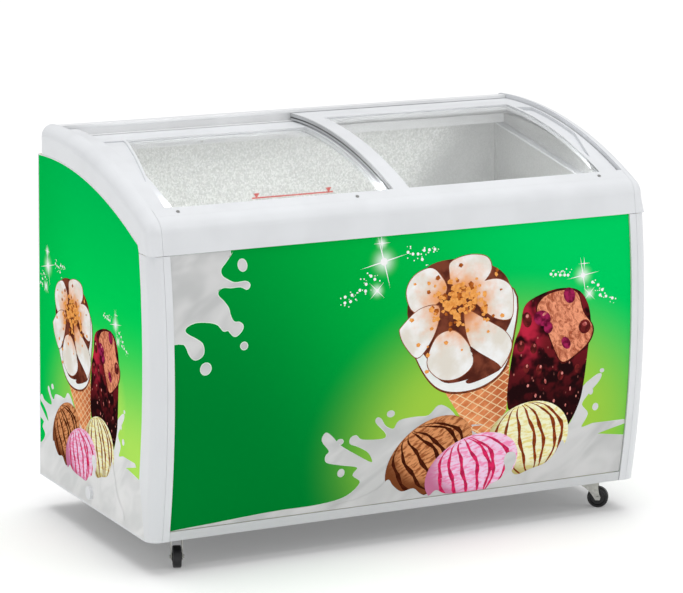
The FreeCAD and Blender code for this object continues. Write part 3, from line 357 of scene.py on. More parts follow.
for entry in frame["record"]["subparts"]:
    node = frame["nodes"][entry["node"]]
    usual = materials.get(entry["material_slot"], materials["white_steel"])
    node.data.materials.clear()
    node.data.materials.append(special.get(entry["node"], usual))
    if entry["material_slot"] == "glass":
        node.visible_shadow = False


# ---- prints --------------------------------------------------------------------------------------

class Placement:
    """A print on one panel. Its own coordinates are millimetres across and up."""

    def __init__(self, name, axis, outward, face, limits, stretch=(1.0, 1.0), shift=(0.0, 0.0),
                 window=None):
        """face gives the panel's point; limits are cuts; window is a rectangle left bare."""
        self.name, self.axis, self.outward, self.face = name, axis, Vector(outward), face
        self.limits, self.stretch, self.shift, self.window = limits, stretch, shift, window

    def spot(self, across, up):
        """Metres along the panel's axis and up."""
        return ((across * self.stretch[0] + self.shift[0]) * MM,
                (up * self.stretch[1] + self.shift[1]) * MM)

    def graph(self, name, roughness=0.32):
        """A material whose positions are the print's own coordinates, in metres."""
        g = Graph(self.name + " " + name, roughness)
        g.shader.inputs["Specular IOR Level"].default_value = PRINT_GLOSS
        along = g.math("MULTIPLY", g.axis(self.axis), 1 / self.stretch[0])
        up = g.math("MULTIPLY", g.axis("Z"), 1 / self.stretch[1])
        made = g.node("ShaderNodeCombineXYZ")
        g.feed(made.inputs["X"], g.math("SUBTRACT", along, self.shift[0] * MM / self.stretch[0]))
        g.feed(made.inputs["Y"], g.math("SUBTRACT", up, self.shift[1] * MM / self.stretch[1]))
        g.position = made.outputs[0]
        return g


panel_mesh = frame["nodes"]["front_panel"].data
panel_tree = BVHTree.FromPolygons([vertex.co for vertex in panel_mesh.vertices],
                                  [tuple(face.vertices) for face in panel_mesh.polygons])


def front_face(along, up):
    """The point of the bulged front panel at this place."""
    hit = panel_tree.ray_cast(Vector((along, -2.0, up)), Vector((0, 1, 0)))[0]
    if hit is None:
        near = panel_tree.find_nearest(Vector((along, PANEL_LOW.y, up)))[0]
        hit = Vector((along, near.y, up))
    return hit


def side_face(x):
    """A flat side panel at this x."""
    return lambda along, up: Vector((x, along, up))


GRILLE_LOW, GRILLE_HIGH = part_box("side_grille")
SIDE_LEAN = 0.0384            # lean of the cabinet's rear edge
EDGE = 5 * MM                 # bare margin along a panel's edge
FILM = 0.05 * MM              # one layer of print
TRIM = 0.1 * MM               # keeps the front's print on the panel's face
STRIP = 16 * MM               # height of the strips that follow the front's bulge
OUTLINE_LIFT = 0.1            # share of a layer between outlines of one film, which may overlap
LIFTED_OUTLINES = 9           # outlines before the lift starts again
SIDE_LIMITS = [((SIDE_HIGH.y - EDGE, SIDE_LOW.z), (1, SIDE_LEAN)),
               ((0, SIDE_LOW.z + EDGE), (0, -1))]
SIDE_ART = {"limits": SIDE_LIMITS, "stretch": (-0.8, 0.82), "shift": (222.8, 52.5)}
FRONT = Placement("front", "X", (0, -1, 0), front_face, [
    ((PANEL_LOW.x + TRIM, 0), (-1, 0)), ((PANEL_HIGH.x - TRIM, 0), (1, 0)),
    ((0, PANEL_LOW.z + TRIM), (0, -1)), ((0, PANEL_HIGH.z - TRIM), (0, 1))])
LEFT = Placement("left", "Y", (-1, 0, 0), side_face(-CAD_SIDE), **SIDE_ART)
RIGHT = Placement("right", "Y", (1, 0, 0), side_face(CAD_SIDE), **SIDE_ART,
                  window=(GRILLE_LOW.y, GRILLE_LOW.z, GRILLE_HIGH.y, GRILLE_HIGH.z))


def smooth(points, steps=5):
    """A closed Catmull-Rom curve through the points."""
    curve = []
    count = len(points)
    for index in range(count):
        p0, p1, p2, p3 = (Vector(points[(index + shift) % count]) for shift in (-1, 0, 1, 2))
        for step in range(steps):
            t = step / steps
            curve.append(0.5 * (2 * p1 + (p2 - p0) * t + (2 * p0 - 5 * p1 + 4 * p2 - p3) * t * t
                                + (3 * p1 - p0 - 3 * p2 + p3) * t ** 3))
    return [tuple(p) for p in curve]


def in_ellipse(shape, a, b):
    """The point at shares a and b of the half axes; shape is (u, w, half_u, half_w, turn)."""
    u, w, half_u, half_w, turn = shape
    c, s = math.cos(math.radians(turn)), math.sin(math.radians(turn))
    return (u + a * half_u * c - b * half_w * s, w + a * half_u * s + b * half_w * c)


def ellipse(u, w, half_u, half_w, turn=0.0, count=40):
    shape = (u, w, half_u, half_w, turn)
    angles = [2 * math.pi * index / count for index in range(count)]
    return [in_ellipse(shape, math.cos(angle), math.sin(angle)) for angle in angles]


def resized(outline, share, drop=(0, 0)):
    """An outline scaled about its middle and moved."""
    mid_u = sum(p[0] for p in outline) / len(outline)
    mid_w = sum(p[1] for p in outline) / len(outline)
    return [(mid_u + (u - mid_u) * share + drop[0], mid_w + (w - mid_w) * share + drop[1])
            for u, w in outline]


def grown(outline, by):
    """An outline moved out along its own normals."""
    count = len(outline)
    area = 0.0
    for index, (u, w) in enumerate(outline):
        area += outline[index - 1][0] * w - u * outline[index - 1][1]
    side = math.copysign(by, area)
    moved = []
    for index, (u, w) in enumerate(outline):
        before, after = outline[index - 1], outline[(index + 1) % count]
        run, rise = after[0] - before[0], after[1] - before[1]
        span = math.hypot(run, rise) or 1.0
        moved.append((u + side * rise / span, w - side * run / span))
    return moved


def slice_mesh(bm, place, normal, clear=False):
    """Cut a flat mesh along a line, and clear what is beyond it if asked."""
    parts = bm.verts[:] + bm.edges[:] + bm.faces[:]
    bmesh.ops.bisect_plane(bm, geom=parts, plane_co=(*place, 0), plane_no=(*normal, 0),
                           clear_outer=clear)


def film(name, place, outlines, layer, material):
    """Thin printed shapes laid on a panel, cut into strips that follow its curve."""
    bm = bmesh.new()
    for index, outline in enumerate(outlines):
        lift = OUTLINE_LIFT * (index % LIFTED_OUTLINES)
        corners = [Vector((*place.spot(u, w), lift)) for u, w in outline]
        verts = [bm.verts.new(corner) for corner in corners]
        for triple in tessellate_polygon([corners]):
            bm.faces.new([verts[i] for i in triple])
    for spot, normal in place.limits:
        slice_mesh(bm, spot, normal, clear=True)
    if place is FRONT:
        heights = [vert.co.y for vert in bm.verts]
        low = min(heights)
        for index in range(1, int((max(heights) - low) / STRIP) + 1):
            slice_mesh(bm, (0, low + index * STRIP), (0, 1))
    if place.window:
        near, low, far, high = place.window
        for across in (near, far):
            slice_mesh(bm, (across, 0), (1, 0))
        for up in (low, high):
            slice_mesh(bm, (0, up), (0, 1))
        hidden = []
        for face in bm.faces:
            middle = face.calc_center_median()
            if near < middle.x < far and low < middle.y < high:
                hidden.append(face)
        bmesh.ops.delete(bm, geom=hidden, context="FACES")
    if not bm.faces:          # wholly inside the window
        bm.free()
        return
    for vert in bm.verts:
        vert.co = place.face(vert.co.x, vert.co.y) + place.outward * ((layer + vert.co.z) * FILM)
    bm.normal_update()
    turned = [face for face in bm.faces if face.normal.dot(place.outward) < 0]
    bmesh.ops.reverse_faces(bm, faces=turned)
    mesh = bpy.data.meshes.new(name)
    bm.to_mesh(mesh)
    bm.free()
    for face in mesh.polygons:
        face.use_smooth = True
    mesh.materials.append(material)
    piece = bpy.data.objects.new(place.name + "_" + name, mesh)
    bpy.context.scene.collection.objects.link(piece)
    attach(piece, "cabinet")


# ---- inks ----------------------------------------------------------------------------------------

PANEL_LIGHT = 0.80            # share of a white panel's colour that its light gives back


def ink(red, green, blue):
    """The print colour that looks like this display colour on a lit panel."""
    channels = srgb(red, green, blue)[:3]
    return tuple(min(0.92, channel / PANEL_LIGHT) for channel in channels) + (1.0,)


def plain_ink(place, name, light, dark, scale=60.0, roughness=0.3):
    """An ink with soft blotches of a second tone."""
    g = place.graph(name, roughness)
    g.colour(g.mix(g.ramp(g.noise(scale), 0.35, 0.65), dark, light))
    g.rough(g.noise(300.0), roughness - 0.03, roughness + 0.04)
    return g.mat


MILK_TONES = {"front": (174, 194), "left": (196, 212), "right": (196, 212)}


def milk_ink(place):
    """Milk with long soft folds."""
    g = place.graph("milk", 0.3)
    low, high = MILK_TONES[place.name]
    fold = g.noise(9.0, 2.0, vector=g.stretch((1.6, 0.7, 1), turn=(0, 0, 0.6)), distortion=0.8)
    g.colour(g.mix(g.ramp(fold, 0.34, 0.68), ink(low, low + 1, low + 1), ink(high, high, high)))
    return g.mat


def waffle_ink(place):
    """Baked wafer with a pale raised lattice."""
    g = place.graph("waffle", 0.4)
    u, w = g.axis("X"), g.axis("Y")
    bake = g.mix(g.ramp(g.noise(45.0), 0.35, 0.65), ink(188, 108, 64), ink(216, 142, 94))
    bake = g.mix(g.near((0.235, 0.34, 0), (0.06, 0.16, 1)), bake, ink(176, 96, 58))
    lattice = 0.0
    for lean in (0.55, -0.75):
        along = g.math("ADD", g.math("MULTIPLY", u, lean), w)
        wave = g.math("FRACT", g.math("MULTIPLY", along, 1 / 0.021))
        line = g.ramp(g.math("ABSOLUTE", g.math("SUBTRACT", wave, 0.5)), 0.10, 0.03)
        lattice = line if lattice == 0.0 else g.math("MAXIMUM", lattice, line)
    g.colour(g.mix(g.math("MULTIPLY", lattice, 0.8), bake, ink(240, 200, 158)))
    g.bump(lattice, 0.15, 0.0005)
    return g.mat


def petal_ink(place):
    """Whipped cream, toasted where the petals meet."""
    g = place.graph("cream petals", 0.3)
    warp = g.noise(34.0, 4.0)
    heart = g.near((0.122, 0.550, 0), (0.175, 0.160, 1))
    warm = g.ramp(g.math("ADD", heart, g.math("MULTIPLY", warp, 0.9)), 0.62, 1.35)
    tone = g.mix(g.ramp(g.noise(18.0), 0.35, 0.68), ink(206, 200, 190), ink(240, 236, 228))
    tone = g.mix(warm, tone, ink(216, 152, 104))
    g.colour(g.mix(g.ramp(heart, 0.70, 1.0), tone, ink(176, 98, 56)))
    g.rough(warp, 0.26, 0.36)
    return g.mat


def scoop_ink(place, name, light, dark, shape):
    """Scraped ice cream: fine grooves across the ball, and shade round its lower left."""
    g = place.graph(name, 0.45)
    u, w, half_u, half_w, turn = shape
    along = g.stretch((2.2, 0.7, 1), turn=(0, 0, math.radians(turn - 8)))
    grooves = g.noise(95.0, 3.0, 0.6, vector=along)
    tone = g.mix(g.ramp(grooves, 0.38, 0.56), dark, light)
    lit = g.near(((u + 0.22 * half_u) * MM, (w + 0.25 * half_w) * MM, 0),
                 (1.45 * half_u * MM, 1.45 * half_w * MM, 1))
    shade = shaded(dark, 0.6)
    g.colour(g.mix(g.ramp(lit, 0.06, 0.45), shade, tone))
    g.bump(grooves, 0.3, 0.0006)
    return g.mat


def glaze_ink(place):
    """Dark glaze over berries: near black, with red-brown gloss and pale specks."""
    g = place.graph("dark glaze", 0.2)
    blotch = g.noise(26.0, 2.0)
    gloss = g.near((0.300, 0.475, 0), (0.060, 0.120, 1))
    red = g.math("MULTIPLY", g.ramp(blotch, 0.46, 0.60), g.ramp(g.axis("Y"), 0.22, 0.50))
    tone = g.mix(red, ink(30, 12, 14), ink(104, 26, 32))
    tone = g.mix(g.math("MULTIPLY", gloss, g.ramp(blotch, 0.34, 0.55)), tone, ink(176, 36, 60))
    specks = g.ramp(g.cells(62.0, vector=g.stretch((0.8, 1.35, 1))), 0.20, 0.08)
    lit = g.math("MULTIPLY", specks, g.ramp(g.noise(22.0), 0.46, 0.6))
    g.colour(g.mix(lit, tone, ink(206, 128, 116)))
    return g.mat


def bite_ink(place):
    """Bitten ice cream, rough and salmon brown."""
    g = place.graph("bitten middle", 0.5)
    along = g.stretch((1.0, 1.6, 1), turn=(0, 0, 0.5))
    tear = g.noise(60.0, 5.0, 0.75, vector=along, distortion=1.2)
    g.colour(g.mix(g.ramp(tear, 0.36, 0.62), ink(148, 74, 52), ink(222, 146, 112)))
    g.bump(tear, 0.3, 0.0006)
    return g.mat


# ---- artwork -------------------------------------------------------------------------------------

BROWN_SCOOP = (58, 200, 120, 84, 34)
PINK_SCOOP = (172, 158, 122, 82, 16)
PALE_SCOOP = (312, 212, 112, 92, 14)


def meridians(shape, shares, width, bulge):
    """Stripes of sauce that run over a ball like meridians, with a slight waver."""
    start, end, steps = -1.3, 1.3, 18
    stripes = []
    for number, share in enumerate(shares):
        left, right = [], []
        for index in range(steps + 1):
            t = start + (end - start) * index / steps
            waver = 0.02 * math.sin(7 * t + 2.3 * number)
            reach = width * (0.4 + 0.6 * math.cos(t * 0.95)) * (1 + 0.3 * math.sin(13 * t + number))
            level = math.sin(t)
            middle = share + waver + bulge * (math.cos(t) - 0.6)
            left.append(in_ellipse(shape, (middle - reach) * math.cos(t), level))
            right.append(in_ellipse(shape, (middle + reach) * math.cos(t), level))
        stripes.append(left + right[::-1])
    return stripes


def scoop(place, name, shape, light, dark, sauce, shares, bulge, layer):
    """One ball of ice cream with stripes of sauce."""
    cream = scoop_ink(place, name, light, dark, shape)
    film(name, place, [ellipse(*shape, count=56)], layer, cream)
    syrup = plain_ink(place, name + " sauce", sauce, shaded(sauce, 0.6), 90.0)
    film(name + "_sauce", place, meridians(shape, shares, 0.038, bulge), layer + 1, syrup)


def petal(points, share=1.0):
    """A petal's outline, grown by a share."""
    return smooth(resized(points, share))


TOP_PETAL = [
    (106, 650), (152, 662), (198, 654), (208, 624), (180, 592), (142, 572), (108, 598), (101, 626)]
LEFT_PETAL = [(-10, 590), (10, 626), (52, 641), (78, 622), (92, 588), (60, 556), (8, 546)]
RIGHT_PETAL = [
    (166, 594), (222, 602), (257, 582), (263, 543), (256, 508), (214, 514), (166, 552), (148, 573)]
LOW_LEFT_PETAL = [
    (-22, 516), (22, 550), (70, 553), (68, 513), (47, 470), (16, 440), (-16, 472), (-28, 501)]
LOW_RIGHT_PETAL = [
    (142, 538), (195, 509), (244, 477), (259, 440), (226, 392), (176, 416), (146, 470), (137, 513)]
LOW_PETAL = [
    (44, 441), (68, 485), (112, 492), (150, 452), (158, 410), (124, 383), (80, 383), (47, 410)]


def draw_cone(place):
    """A wafer cone with a rosette of cream petals, chocolate and chopped nuts."""
    wafer = [(62, 392), (260, 470), (256, 420), (252, 290), (206, 226), (150, 262)]
    film("wafer", place, [wafer], 3, waffle_ink(place))
    cup = smooth([
        (-15, 520), (8, 452), (40, 394), (78, 360), (130, 349), (190, 358), (238, 390), (260, 452),
        (263, 575), (120, 600)])
    rim_light, rim_dark = ink(232, 235, 232), ink(206, 212, 208)
    film("cup_rim", place, [cup], 5, plain_ink(place, "cup rim", rim_light, rim_dark, 12.0))
    shadow = plain_ink(place, "cup shadow", ink(120, 66, 42), ink(92, 44, 28))
    film("cup_shadow", place, [resized(cup, 1.025, (1, -3))], 4, shadow)
    chocolate = plain_ink(place, "chocolate", ink(112, 58, 42), ink(74, 34, 26), 30.0, 0.25)
    disc = smooth([
        (-8, 560), (10, 480), (48, 425), (60, 396), (98, 372), (170, 382), (206, 408), (240, 470),
        (262, 520), (250, 600), (196, 640), (120, 656), (40, 640)])
    film("chocolate_disc", place, [disc], 6, chocolate)
    cream = petal_ink(place)
    outline_brown = plain_ink(place, "petal outline", ink(150, 88, 58), ink(112, 58, 38), 40.0)
    rings = ((TOP_PETAL, LEFT_PETAL, RIGHT_PETAL), (LOW_LEFT_PETAL, LOW_RIGHT_PETAL), (LOW_PETAL,))
    for number, ring in enumerate(rings):
        shadows = [petal(points, 1.035) for points in ring]
        film("petal_shadow_%d" % number, place, shadows, 7 + 2 * number, outline_brown)
        film("petals_%d" % number, place, [petal(points) for points in ring], 8 + 2 * number, cream)
    swirl = smooth([
        (150, 452), (176, 436), (232, 398), (206, 380), (156, 366), (142, 372), (158, 384),
        (164, 410)])
    film("chocolate_swirl", place, [swirl], 12, chocolate)
    draws = random.Random(11)
    chips = {"nuts_light": [], "nuts_dark": []}
    for index in range(170):
        core = index < 100
        u = draws.gauss(124, 30 if core else 68)
        w = draws.gauss(564 if core else 545, 24 if core else 54)
        if not (-6 < u < 246 and 395 < w < 645):
            continue
        size = draws.uniform(6.0, 10.5) if core else draws.uniform(4.0, 7.5)
        turn = draws.uniform(0, 6.28)
        corners = []
        for corner in range(5):
            angle = turn + corner * 1.257
            wide, tall = draws.uniform(0.6, 1.1), draws.uniform(0.5, 1.0)
            corners.append((u + size * wide * math.cos(angle), w + size * tall * math.sin(angle)))
        chips["nuts_dark" if index % 3 == 0 else "nuts_light"].append(corners)
    tones = {"nuts_light": (ink(224, 156, 84), ink(206, 132, 62)),
             "nuts_dark": (ink(176, 98, 40), ink(140, 70, 28))}
    for number, (name, outlines) in enumerate(chips.items()):
        film(name, place, outlines, 14 - number, plain_ink(place, name, *tones[name], 120.0))


def draw_bar(place):
    """A glazed bar with a bite out of its corner."""
    bar = smooth([
        (263, 430), (282, 484), (292, 530), (322, 551), (380, 565), (434, 558), (462, 522),
        (470, 470), (464, 420), (456, 340), (448, 292), (426, 244), (400, 222), (330, 262),
        (256, 296)])
    film("bar", place, [bar], 4, glaze_ink(place))
    bite = smooth([
        (326, 520), (345, 549), (390, 560), (432, 552), (449, 505), (474, 468), (466, 436),
        (436, 410), (396, 392), (372, 428), (350, 478)])
    edge = plain_ink(place, "bite edge", ink(78, 26, 22), ink(48, 16, 16))
    film("bite_edge", place, [resized(bite, 1.05)], 5, edge)
    film("bite", place, [bite], 6, bite_ink(place))
    berry = plain_ink(place, "berries", ink(150, 34, 78), ink(84, 16, 40), 70.0, 0.2)
    berries = [
        (340, 500, 23, 18, -20), (356, 477, 12, 14, 10), (412, 547, 15, 19, 20),
        (404, 436, 11, 16, 30)]
    film("berries", place, [ellipse(*spot, count=18) for spot in berries], 7, berry)
    lumps = plain_ink(place, "glaze lumps", ink(108, 34, 34), ink(66, 22, 22), 80.0, 0.2)
    spots = [
        (453, 470, 16, 17, 0), (300, 500, 12, 18, 10), (284, 440, 10, 14, 0), (318, 432, 9, 13, 0),
        (300, 386, 8, 11, 0), (334, 380, 8, 12, 0), (392, 360, 8, 12, 0), (436, 372, 7, 11, 0)]
    film("glaze_lumps", place, [ellipse(*spot, count=14) for spot in spots], 7, lumps)
    shine = plain_ink(place, "glaze shine", ink(214, 138, 130), ink(150, 66, 64), 90.0, 0.2)
    glints = [
        (300, 509, 4, 5, 0), (284, 447, 3, 5, 0), (320, 438, 3, 4, 0), (302, 391, 3, 4, 0),
        (338, 386, 3, 4, 0), (352, 350, 3, 6, 10), (306, 344, 3, 4, 0), (328, 318, 3, 5, 0),
        (396, 365, 3, 4, 0), (420, 325, 2, 6, 0), (378, 300, 3, 4, 0), (410, 286, 2, 4, 0),
        (346, 510, 7, 3, 35), (453, 476, 6, 5, 0)]
    film("glaze_shine", place, [ellipse(*spot, count=10) for spot in glints], 8, shine)


MILK_BACK = [
    (-640, 0), (-640, 92), (-576, 101), (-477, 107), (-330, 116), (-213, 118), (-147, 130),
    (-114, 160), (-134, 180), (-124, 198), (-168, 209), (-202, 219), (-206, 234), (-198, 246),
    (-217, 272), (-209, 289), (-194, 280), (-171, 255), (-135, 231), (-88, 204), (-98, 230),
    (-126, 248), (-146, 257), (-145, 270), (-132, 274), (-116, 262), (-64, 258), (-57, 271),
    (-83, 299), (-81, 310), (-71, 306), (-59, 288), (-38, 279), (-24, 297), (15, 301), (50, 301),
    (75, 322), (103, 310), (140, 274), (200, 262), (300, 250), (404, 224), (440, 268), (449, 318),
    (484, 347), (502, 352), (497, 336), (469, 306), (454, 282), (472, 258), (458, 226), (497, 232),
    (503, 205)]
MILK_FRONT_RIGHT = [(580, 192), (650, 190), (650, 0)]
MILK_SIDE_RIGHT = [(520, 204), (604, 193), (640, 0)]
MILK_LIP = [
    (-230, 40), (-196, 104), (-120, 120), (-70, 138), (-44, 158), (-30, 142), (-6, 124), (24, 128),
    (44, 112), (66, 104), (84, 116), (110, 104), (160, 100), (206, 98), (226, 112), (252, 124),
    (262, 146), (256, 168), (264, 186), (284, 184), (288, 164), (280, 140), (296, 128), (330, 138),
    (368, 148), (392, 170), (408, 200), (420, 180), (440, 120), (450, 40)]
MILK_DROPS = [
    (-172, 264, 8, 6, 0), (-165, 189, 8, 9, 0), (-47, 316, 9, 7, 0), (477, 312, 5, 7, 0),
    (492, 273, 7, 8, 0), (504, 360, 5, 4, 0)]


def draw_milk(place, corner):
    """The splash that the ice creams stand in."""
    milk = milk_ink(place)
    low, high = MILK_TONES[place.name]
    bright = ink(high + 8, high + 12, high + 8)
    rim = plain_ink(place, "milk rim", bright, ink(low, low + 6, low), 20.0)
    drops = [ellipse(*spot, count=18) for spot in MILK_DROPS]
    splash = smooth(MILK_BACK, 4)[:-3] + corner
    film("milk_rim", place, [grown(outline, 1.2) for outline in [splash] + drops], 1, rim)
    film("milk", place, [splash] + drops, 2, milk)
    band_offset = smooth(MILK_LIP, 4)
    film("milk_lip_rim", place, [grown(band_offset[4:-16], 1.2) + [(392, 40), (-196, 40)]], 13, rim)
    film("milk_lip", place, [band_offset], 14, milk)


CORNER_SPLASH = [
    (-435, 708), (-449, 695), (-460, 682), (-458, 668), (-445, 658), (-428, 650), (-406, 651),
    (-396, 648), (-393, 641), (-400, 634), (-415, 641), (-439, 641), (-453, 643), (-464, 640),
    (-470, 633), (-468, 624), (-455, 610), (-446, 596), (-443, 583), (-438, 570), (-431, 564),
    (-421, 563), (-413, 556), (-415, 546), (-425, 536), (-434, 534), (-442, 541), (-448, 548),
    (-459, 548), (-466, 556), (-474, 564), (-492, 570), (-520, 573), (-538, 569), (-549, 562),
    (-550, 554), (-542, 546), (-525, 536), (-511, 525), (-507, 510), (-510, 499), (-520, 492),
    (-531, 492), (-541, 503), (-547, 518), (-554, 528), (-566, 531)]


def draw_corner_splash(place):
    """More milk, running in from the upper left corner."""
    drops = [ellipse(-408, 687, 10, 13, 10, count=24), ellipse(-411, 510, 8, 8, 0, count=20),
             ellipse(-503, 468, 12, 13, -25, count=24)]
    edge = smooth(CORNER_SPLASH, 3)[:-5]
    splash = [(-600, 740), (-435, 740), (-435, 712)] + edge + [(-566, 530), (-600, 528)]
    low, high = MILK_TONES[place.name]
    bright = ink(high + 12, 232, high + 14)
    rim = plain_ink(place, "corner rim", bright, ink(high, high + 16, high + 4), 20.0)
    film("corner_splash_rim", place, [grown(outline, 1.6) for outline in [splash] + drops], 1, rim)
    film("corner_splash", place, [splash] + drops, 2, milk_ink(place))


def star(u, w, reach, waist, turn=0.0):
    """A four-pointed sparkle."""
    corners = []
    for index in range(8):
        angle = math.radians(turn) + index * math.pi / 4
        r = reach if index % 2 == 0 else waist
        corners.append((u + r * math.cos(angle), w + r * math.sin(angle)))
    return corners


STARS = [
    (-63, 665, 62, 2.6, 12), (-66, 706, 22, 1.6, 0), (-83, 602, 26, 1.8, 45),
    (449, 590, 44, 2.2, 8), (453, 617, 16, 1.4, 0), (465, 546, 22, 1.6, 45)]
DOTS = [
    (-2, 681), (10, 676), (23, 675), (39, 682), (52, 682), (66, 682), (33, 662), (-97, 636),
    (-88, 628), (-110, 619), (-126, 607), (-112, 604), (-146, 598), (-163, 595), (-164, 582),
    (-150, 584), (364, 600), (376, 598), (388, 596), (400, 595), (409, 594), (474, 572), (489, 564),
    (500, 552), (510, 536), (527, 530), (494, 540)]


def draw_sparkles(place):
    """Stars, each with a small disc, and dust: grains strewn round the dots."""
    g = place.graph("sparkle", 0.4)
    g.colour(g.mix(g.noise(40.0), ink(226, 255, 232), ink(255, 255, 250)))
    discs = [ellipse(u, w, reach * 0.14, reach * 0.14, count=20) for u, w, reach, _, _ in STARS]
    draws = random.Random(5)
    grains = []
    for u, w in DOTS:
        grains.append(ellipse(u, w, 3.6, 3.6, count=10))
        for _ in range(3):
            size = draws.uniform(1.0, 2.0)
            grain_u, grain_w = u + draws.uniform(-14, 14), w + draws.uniform(-14, 14)
            grains.append(ellipse(grain_u, grain_w, size, size, count=8))
    film("sparkles", place, [star(*spot) for spot in STARS], 3, g.mat)
    film("sparkle_dust", place, grains + discs, 4, g.mat)


def draw_ice_creams(place, corner):
    """The whole picture on one panel, from the milk at the back to the sparkles."""
    draw_milk(place, corner)
    draw_cone(place)
    draw_bar(place)
    scoop(place, "pale_scoop", PALE_SCOOP, ink(246, 242, 190), ink(214, 200, 128), ink(136, 60, 28),
          (-0.78, -0.5, -0.18, 0.14, 0.34, 0.64, 0.8), 0.1, 9)
    scoop(place, "brown_scoop", BROWN_SCOOP, ink(200, 136, 90), ink(136, 76, 44), ink(70, 28, 14),
          (-0.86, -0.6, -0.3, 0.02, 0.16, 0.5, 0.62), 0.35, 9)
    scoop(place, "pink_scoop", PINK_SCOOP, ink(248, 190, 214), ink(226, 132, 172), ink(208, 40, 92),
          (-0.8, -0.56, -0.3, 0.0, 0.26, 0.36, 0.66), 0.3, 11)
    draw_sparkles(place)


SHEET_RADIUS = 1196           # millimetres from the arc's middle to the top of the side's film


def sheet_top(y):
    """Height of the side's film at depth y, in millimetres."""
    return ARC_Z + math.sqrt(SHEET_RADIUS ** 2 - (y - ARC_Y) ** 2)


def side_sheet(place):
    """The green film on a side, under the arch; its lower front corner stays bare."""
    top = [(y, sheet_top(y)) for y in range(330, -270, -20)]
    front = [(-270, 738), (-276, 722), (-284, 640), (-287, 560), (-287, 500), (-284, 420),
             (-279, 350), (-270, 280), (-259, 206)]
    outline = [(360, 60), (360, sheet_top(350) - 4)] + top + front + [(-187, 216), (-120, 60)]
    stretch, shift = place.stretch, place.shift
    return [((y - shift[0]) / stretch[0], (z - shift[1]) / stretch[1]) for y, z in outline]


def side_green(place):
    """The side's film: green, with a lime glow round the artwork and towards the low front."""
    g = Graph(place.name + " side green", 0.3)
    g.shader.inputs["Specular IOR Level"].default_value = PRINT_GLOSS
    low = g.ramp(g.axis("Z"), 0.62, 0.25)
    front = g.ramp(g.axis("Y"), 0.30, -0.24)
    base = g.mix(g.ramp(g.axis("Z"), 0.45, 0.95), ink(0, 193, 80), ink(0, 166, 75))
    rear_shade = g.ramp(g.axis("Y"), 0.05, 0.36)
    base = g.mix(g.math("MULTIPLY", rear_shade, 0.6), base, ink(0, 162, 66))
    panel_x = place.outward.x * CAD_SIDE
    glow = g.near((panel_x, 0.0, 0.27), (1.0, 0.42, 0.33))
    lime = g.mix(front, ink(112, 188, 74), ink(164, 212, 88))
    low_front = g.math("MULTIPLY", g.math("MULTIPLY", low, low), front)
    base = g.mix(g.math("MAXIMUM", g.ramp(glow, 0.1, 0.7), low_front), base, lime)
    spots = [((panel_x, *place.spot(u, w)), (1.0, 0.8 * r * MM, 0.82 * r * MM))
             for u, w, r in HALOS]
    g.colour(glinting(g, base, spots))
    g.rough(g.noise(220.0, 2.0), 0.26, 0.36)
    return g.mat


def draw_load_line():
    """Red load line with two marks, on the liner's rear wall."""
    liner = frame["nodes"]["inner_liner"].data
    tree = BVHTree.FromPolygons([vertex.co for vertex in liner.vertices],
                                [tuple(face.vertices) for face in liner.polygons])
    wall = tree.ray_cast(Vector((0.0, 0.1, 0.70)), Vector((0, 1, 0)))[0]
    place = Placement("load_line", "X", (0, -1, 0),
                      lambda along, up: Vector((along, wall.y, up)), [])
    level = 718
    bar = [(-108, level - 2), (108, level - 2), (108, level + 1.5), (-108, level + 1.5)]
    marks = [[(u - 8, level + 11), (u + 8, level + 11), (u, level - 1)] for u in (-96, 96)]
    red = plain_ink(place, "red", ink(206, 92, 84), ink(190, 74, 66), 60.0)
    film("marks", place, [bar] + marks, 3, red)


draw_load_line()
draw_corner_splash(FRONT)
draw_ice_creams(FRONT, MILK_FRONT_RIGHT)
for side in (LEFT, RIGHT):
    film("green_sheet", side, [side_sheet(side)], 0.5, side_green(side))
    draw_ice_creams(side, MILK_SIDE_RIGHT)


# ---- camera, floor and light ---------------------------------------------------------------------

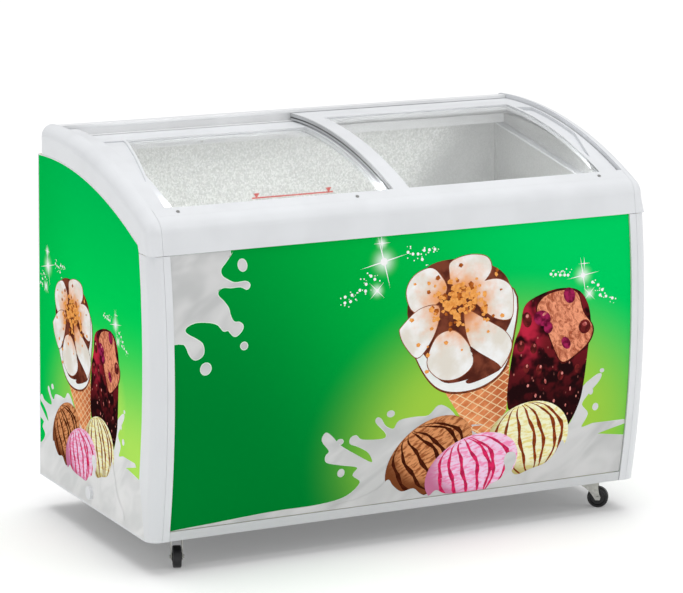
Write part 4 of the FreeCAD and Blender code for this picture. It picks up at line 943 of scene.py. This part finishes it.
FOCAL_WIDTHS = 4.3805         # focal length in widths of the picture
SENSOR = 36.0                 # millimetres
camera_data = bpy.data.cameras.new("camera")
camera_data.sensor_width = SENSOR
camera_data.lens = SENSOR * FOCAL_WIDTHS
camera_data.clip_end = 200.0
camera = bpy.data.objects.new("camera", camera_data)
camera.location = (-3.0627, -6.1402, 1.9353)
camera.rotation_euler = (math.radians(90 - 11.676), 0.0, math.radians(-26.517))
bpy.context.scene.collection.objects.link(camera)
bpy.context.scene.camera = camera

FLOOR = 60.0                  # half width of the floor, in metres
floor_mesh = bpy.data.meshes.new("floor")
floor_corners = [(-FLOOR, -FLOOR, 0), (FLOOR, -FLOOR, 0), (FLOOR, FLOOR, 0), (-FLOOR, FLOOR, 0)]
floor_mesh.from_pydata(floor_corners, [], [(0, 1, 2, 3)])
floor = bpy.data.objects.new("floor", floor_mesh)
floor_look = Graph("floor", 0.9, Base_Color=(0.82, 0.82, 0.82, 1.0), Emission_Color=(1, 1, 1, 1),
                   Emission_Strength=0.16, Specular_IOR_Level=0.0)
floor_mesh.materials.append(floor_look.mat)
bpy.context.scene.collection.objects.link(floor)


def add_light(name, kind, power, place, target):
    """A lamp aimed at a point."""
    light = bpy.data.lights.new(name, kind)
    light.energy = power
    lamp = bpy.data.objects.new(name, light)
    lamp.location = place
    lamp.rotation_euler = (Vector(target) - Vector(place)).to_track_quat("-Z", "Y").to_euler()
    bpy.context.scene.collection.objects.link(lamp)
    return lamp


def softbox(name, place, target, size, power):
    """A rectangular soft light."""
    light = add_light(name, "AREA", power, place, target).data
    light.shape = "RECTANGLE"
    light.size, light.size_y = size


overhead = add_light("overhead", "SUN", 1.9, (0.3, 0.4, 6.0), (0, 0, 0))
overhead.data.angle = math.radians(50)
overhead.visible_glossy = False
softbox("key", (-4.6, -0.6, 2.6), (0, 0, 0.5), (3.0, 2.4), 18)
softbox("fill", (4.4, -3.4, 2.6), (0.5, 0, 0.7), (2.0, 2.0), 26)
softbox("crest", (0.0, -3.0, 3.6), (0, -0.3, 0.8), (3.2, 0.3), 16)
softbox("bin", (0.0, -0.22, 0.80), (0.0, 0.26, 0.50), (1.1, 0.05), 1.6)
world = bpy.data.worlds.new("studio")
world.use_nodes = True
world.node_tree.nodes["Background"].inputs["Color"].default_value = (1, 1, 1, 1)
world.node_tree.nodes["Background"].inputs["Strength"].default_value = 0.5
bpy.context.scene.world = world
bpy.context.scene.view_settings.view_transform = "Standard"
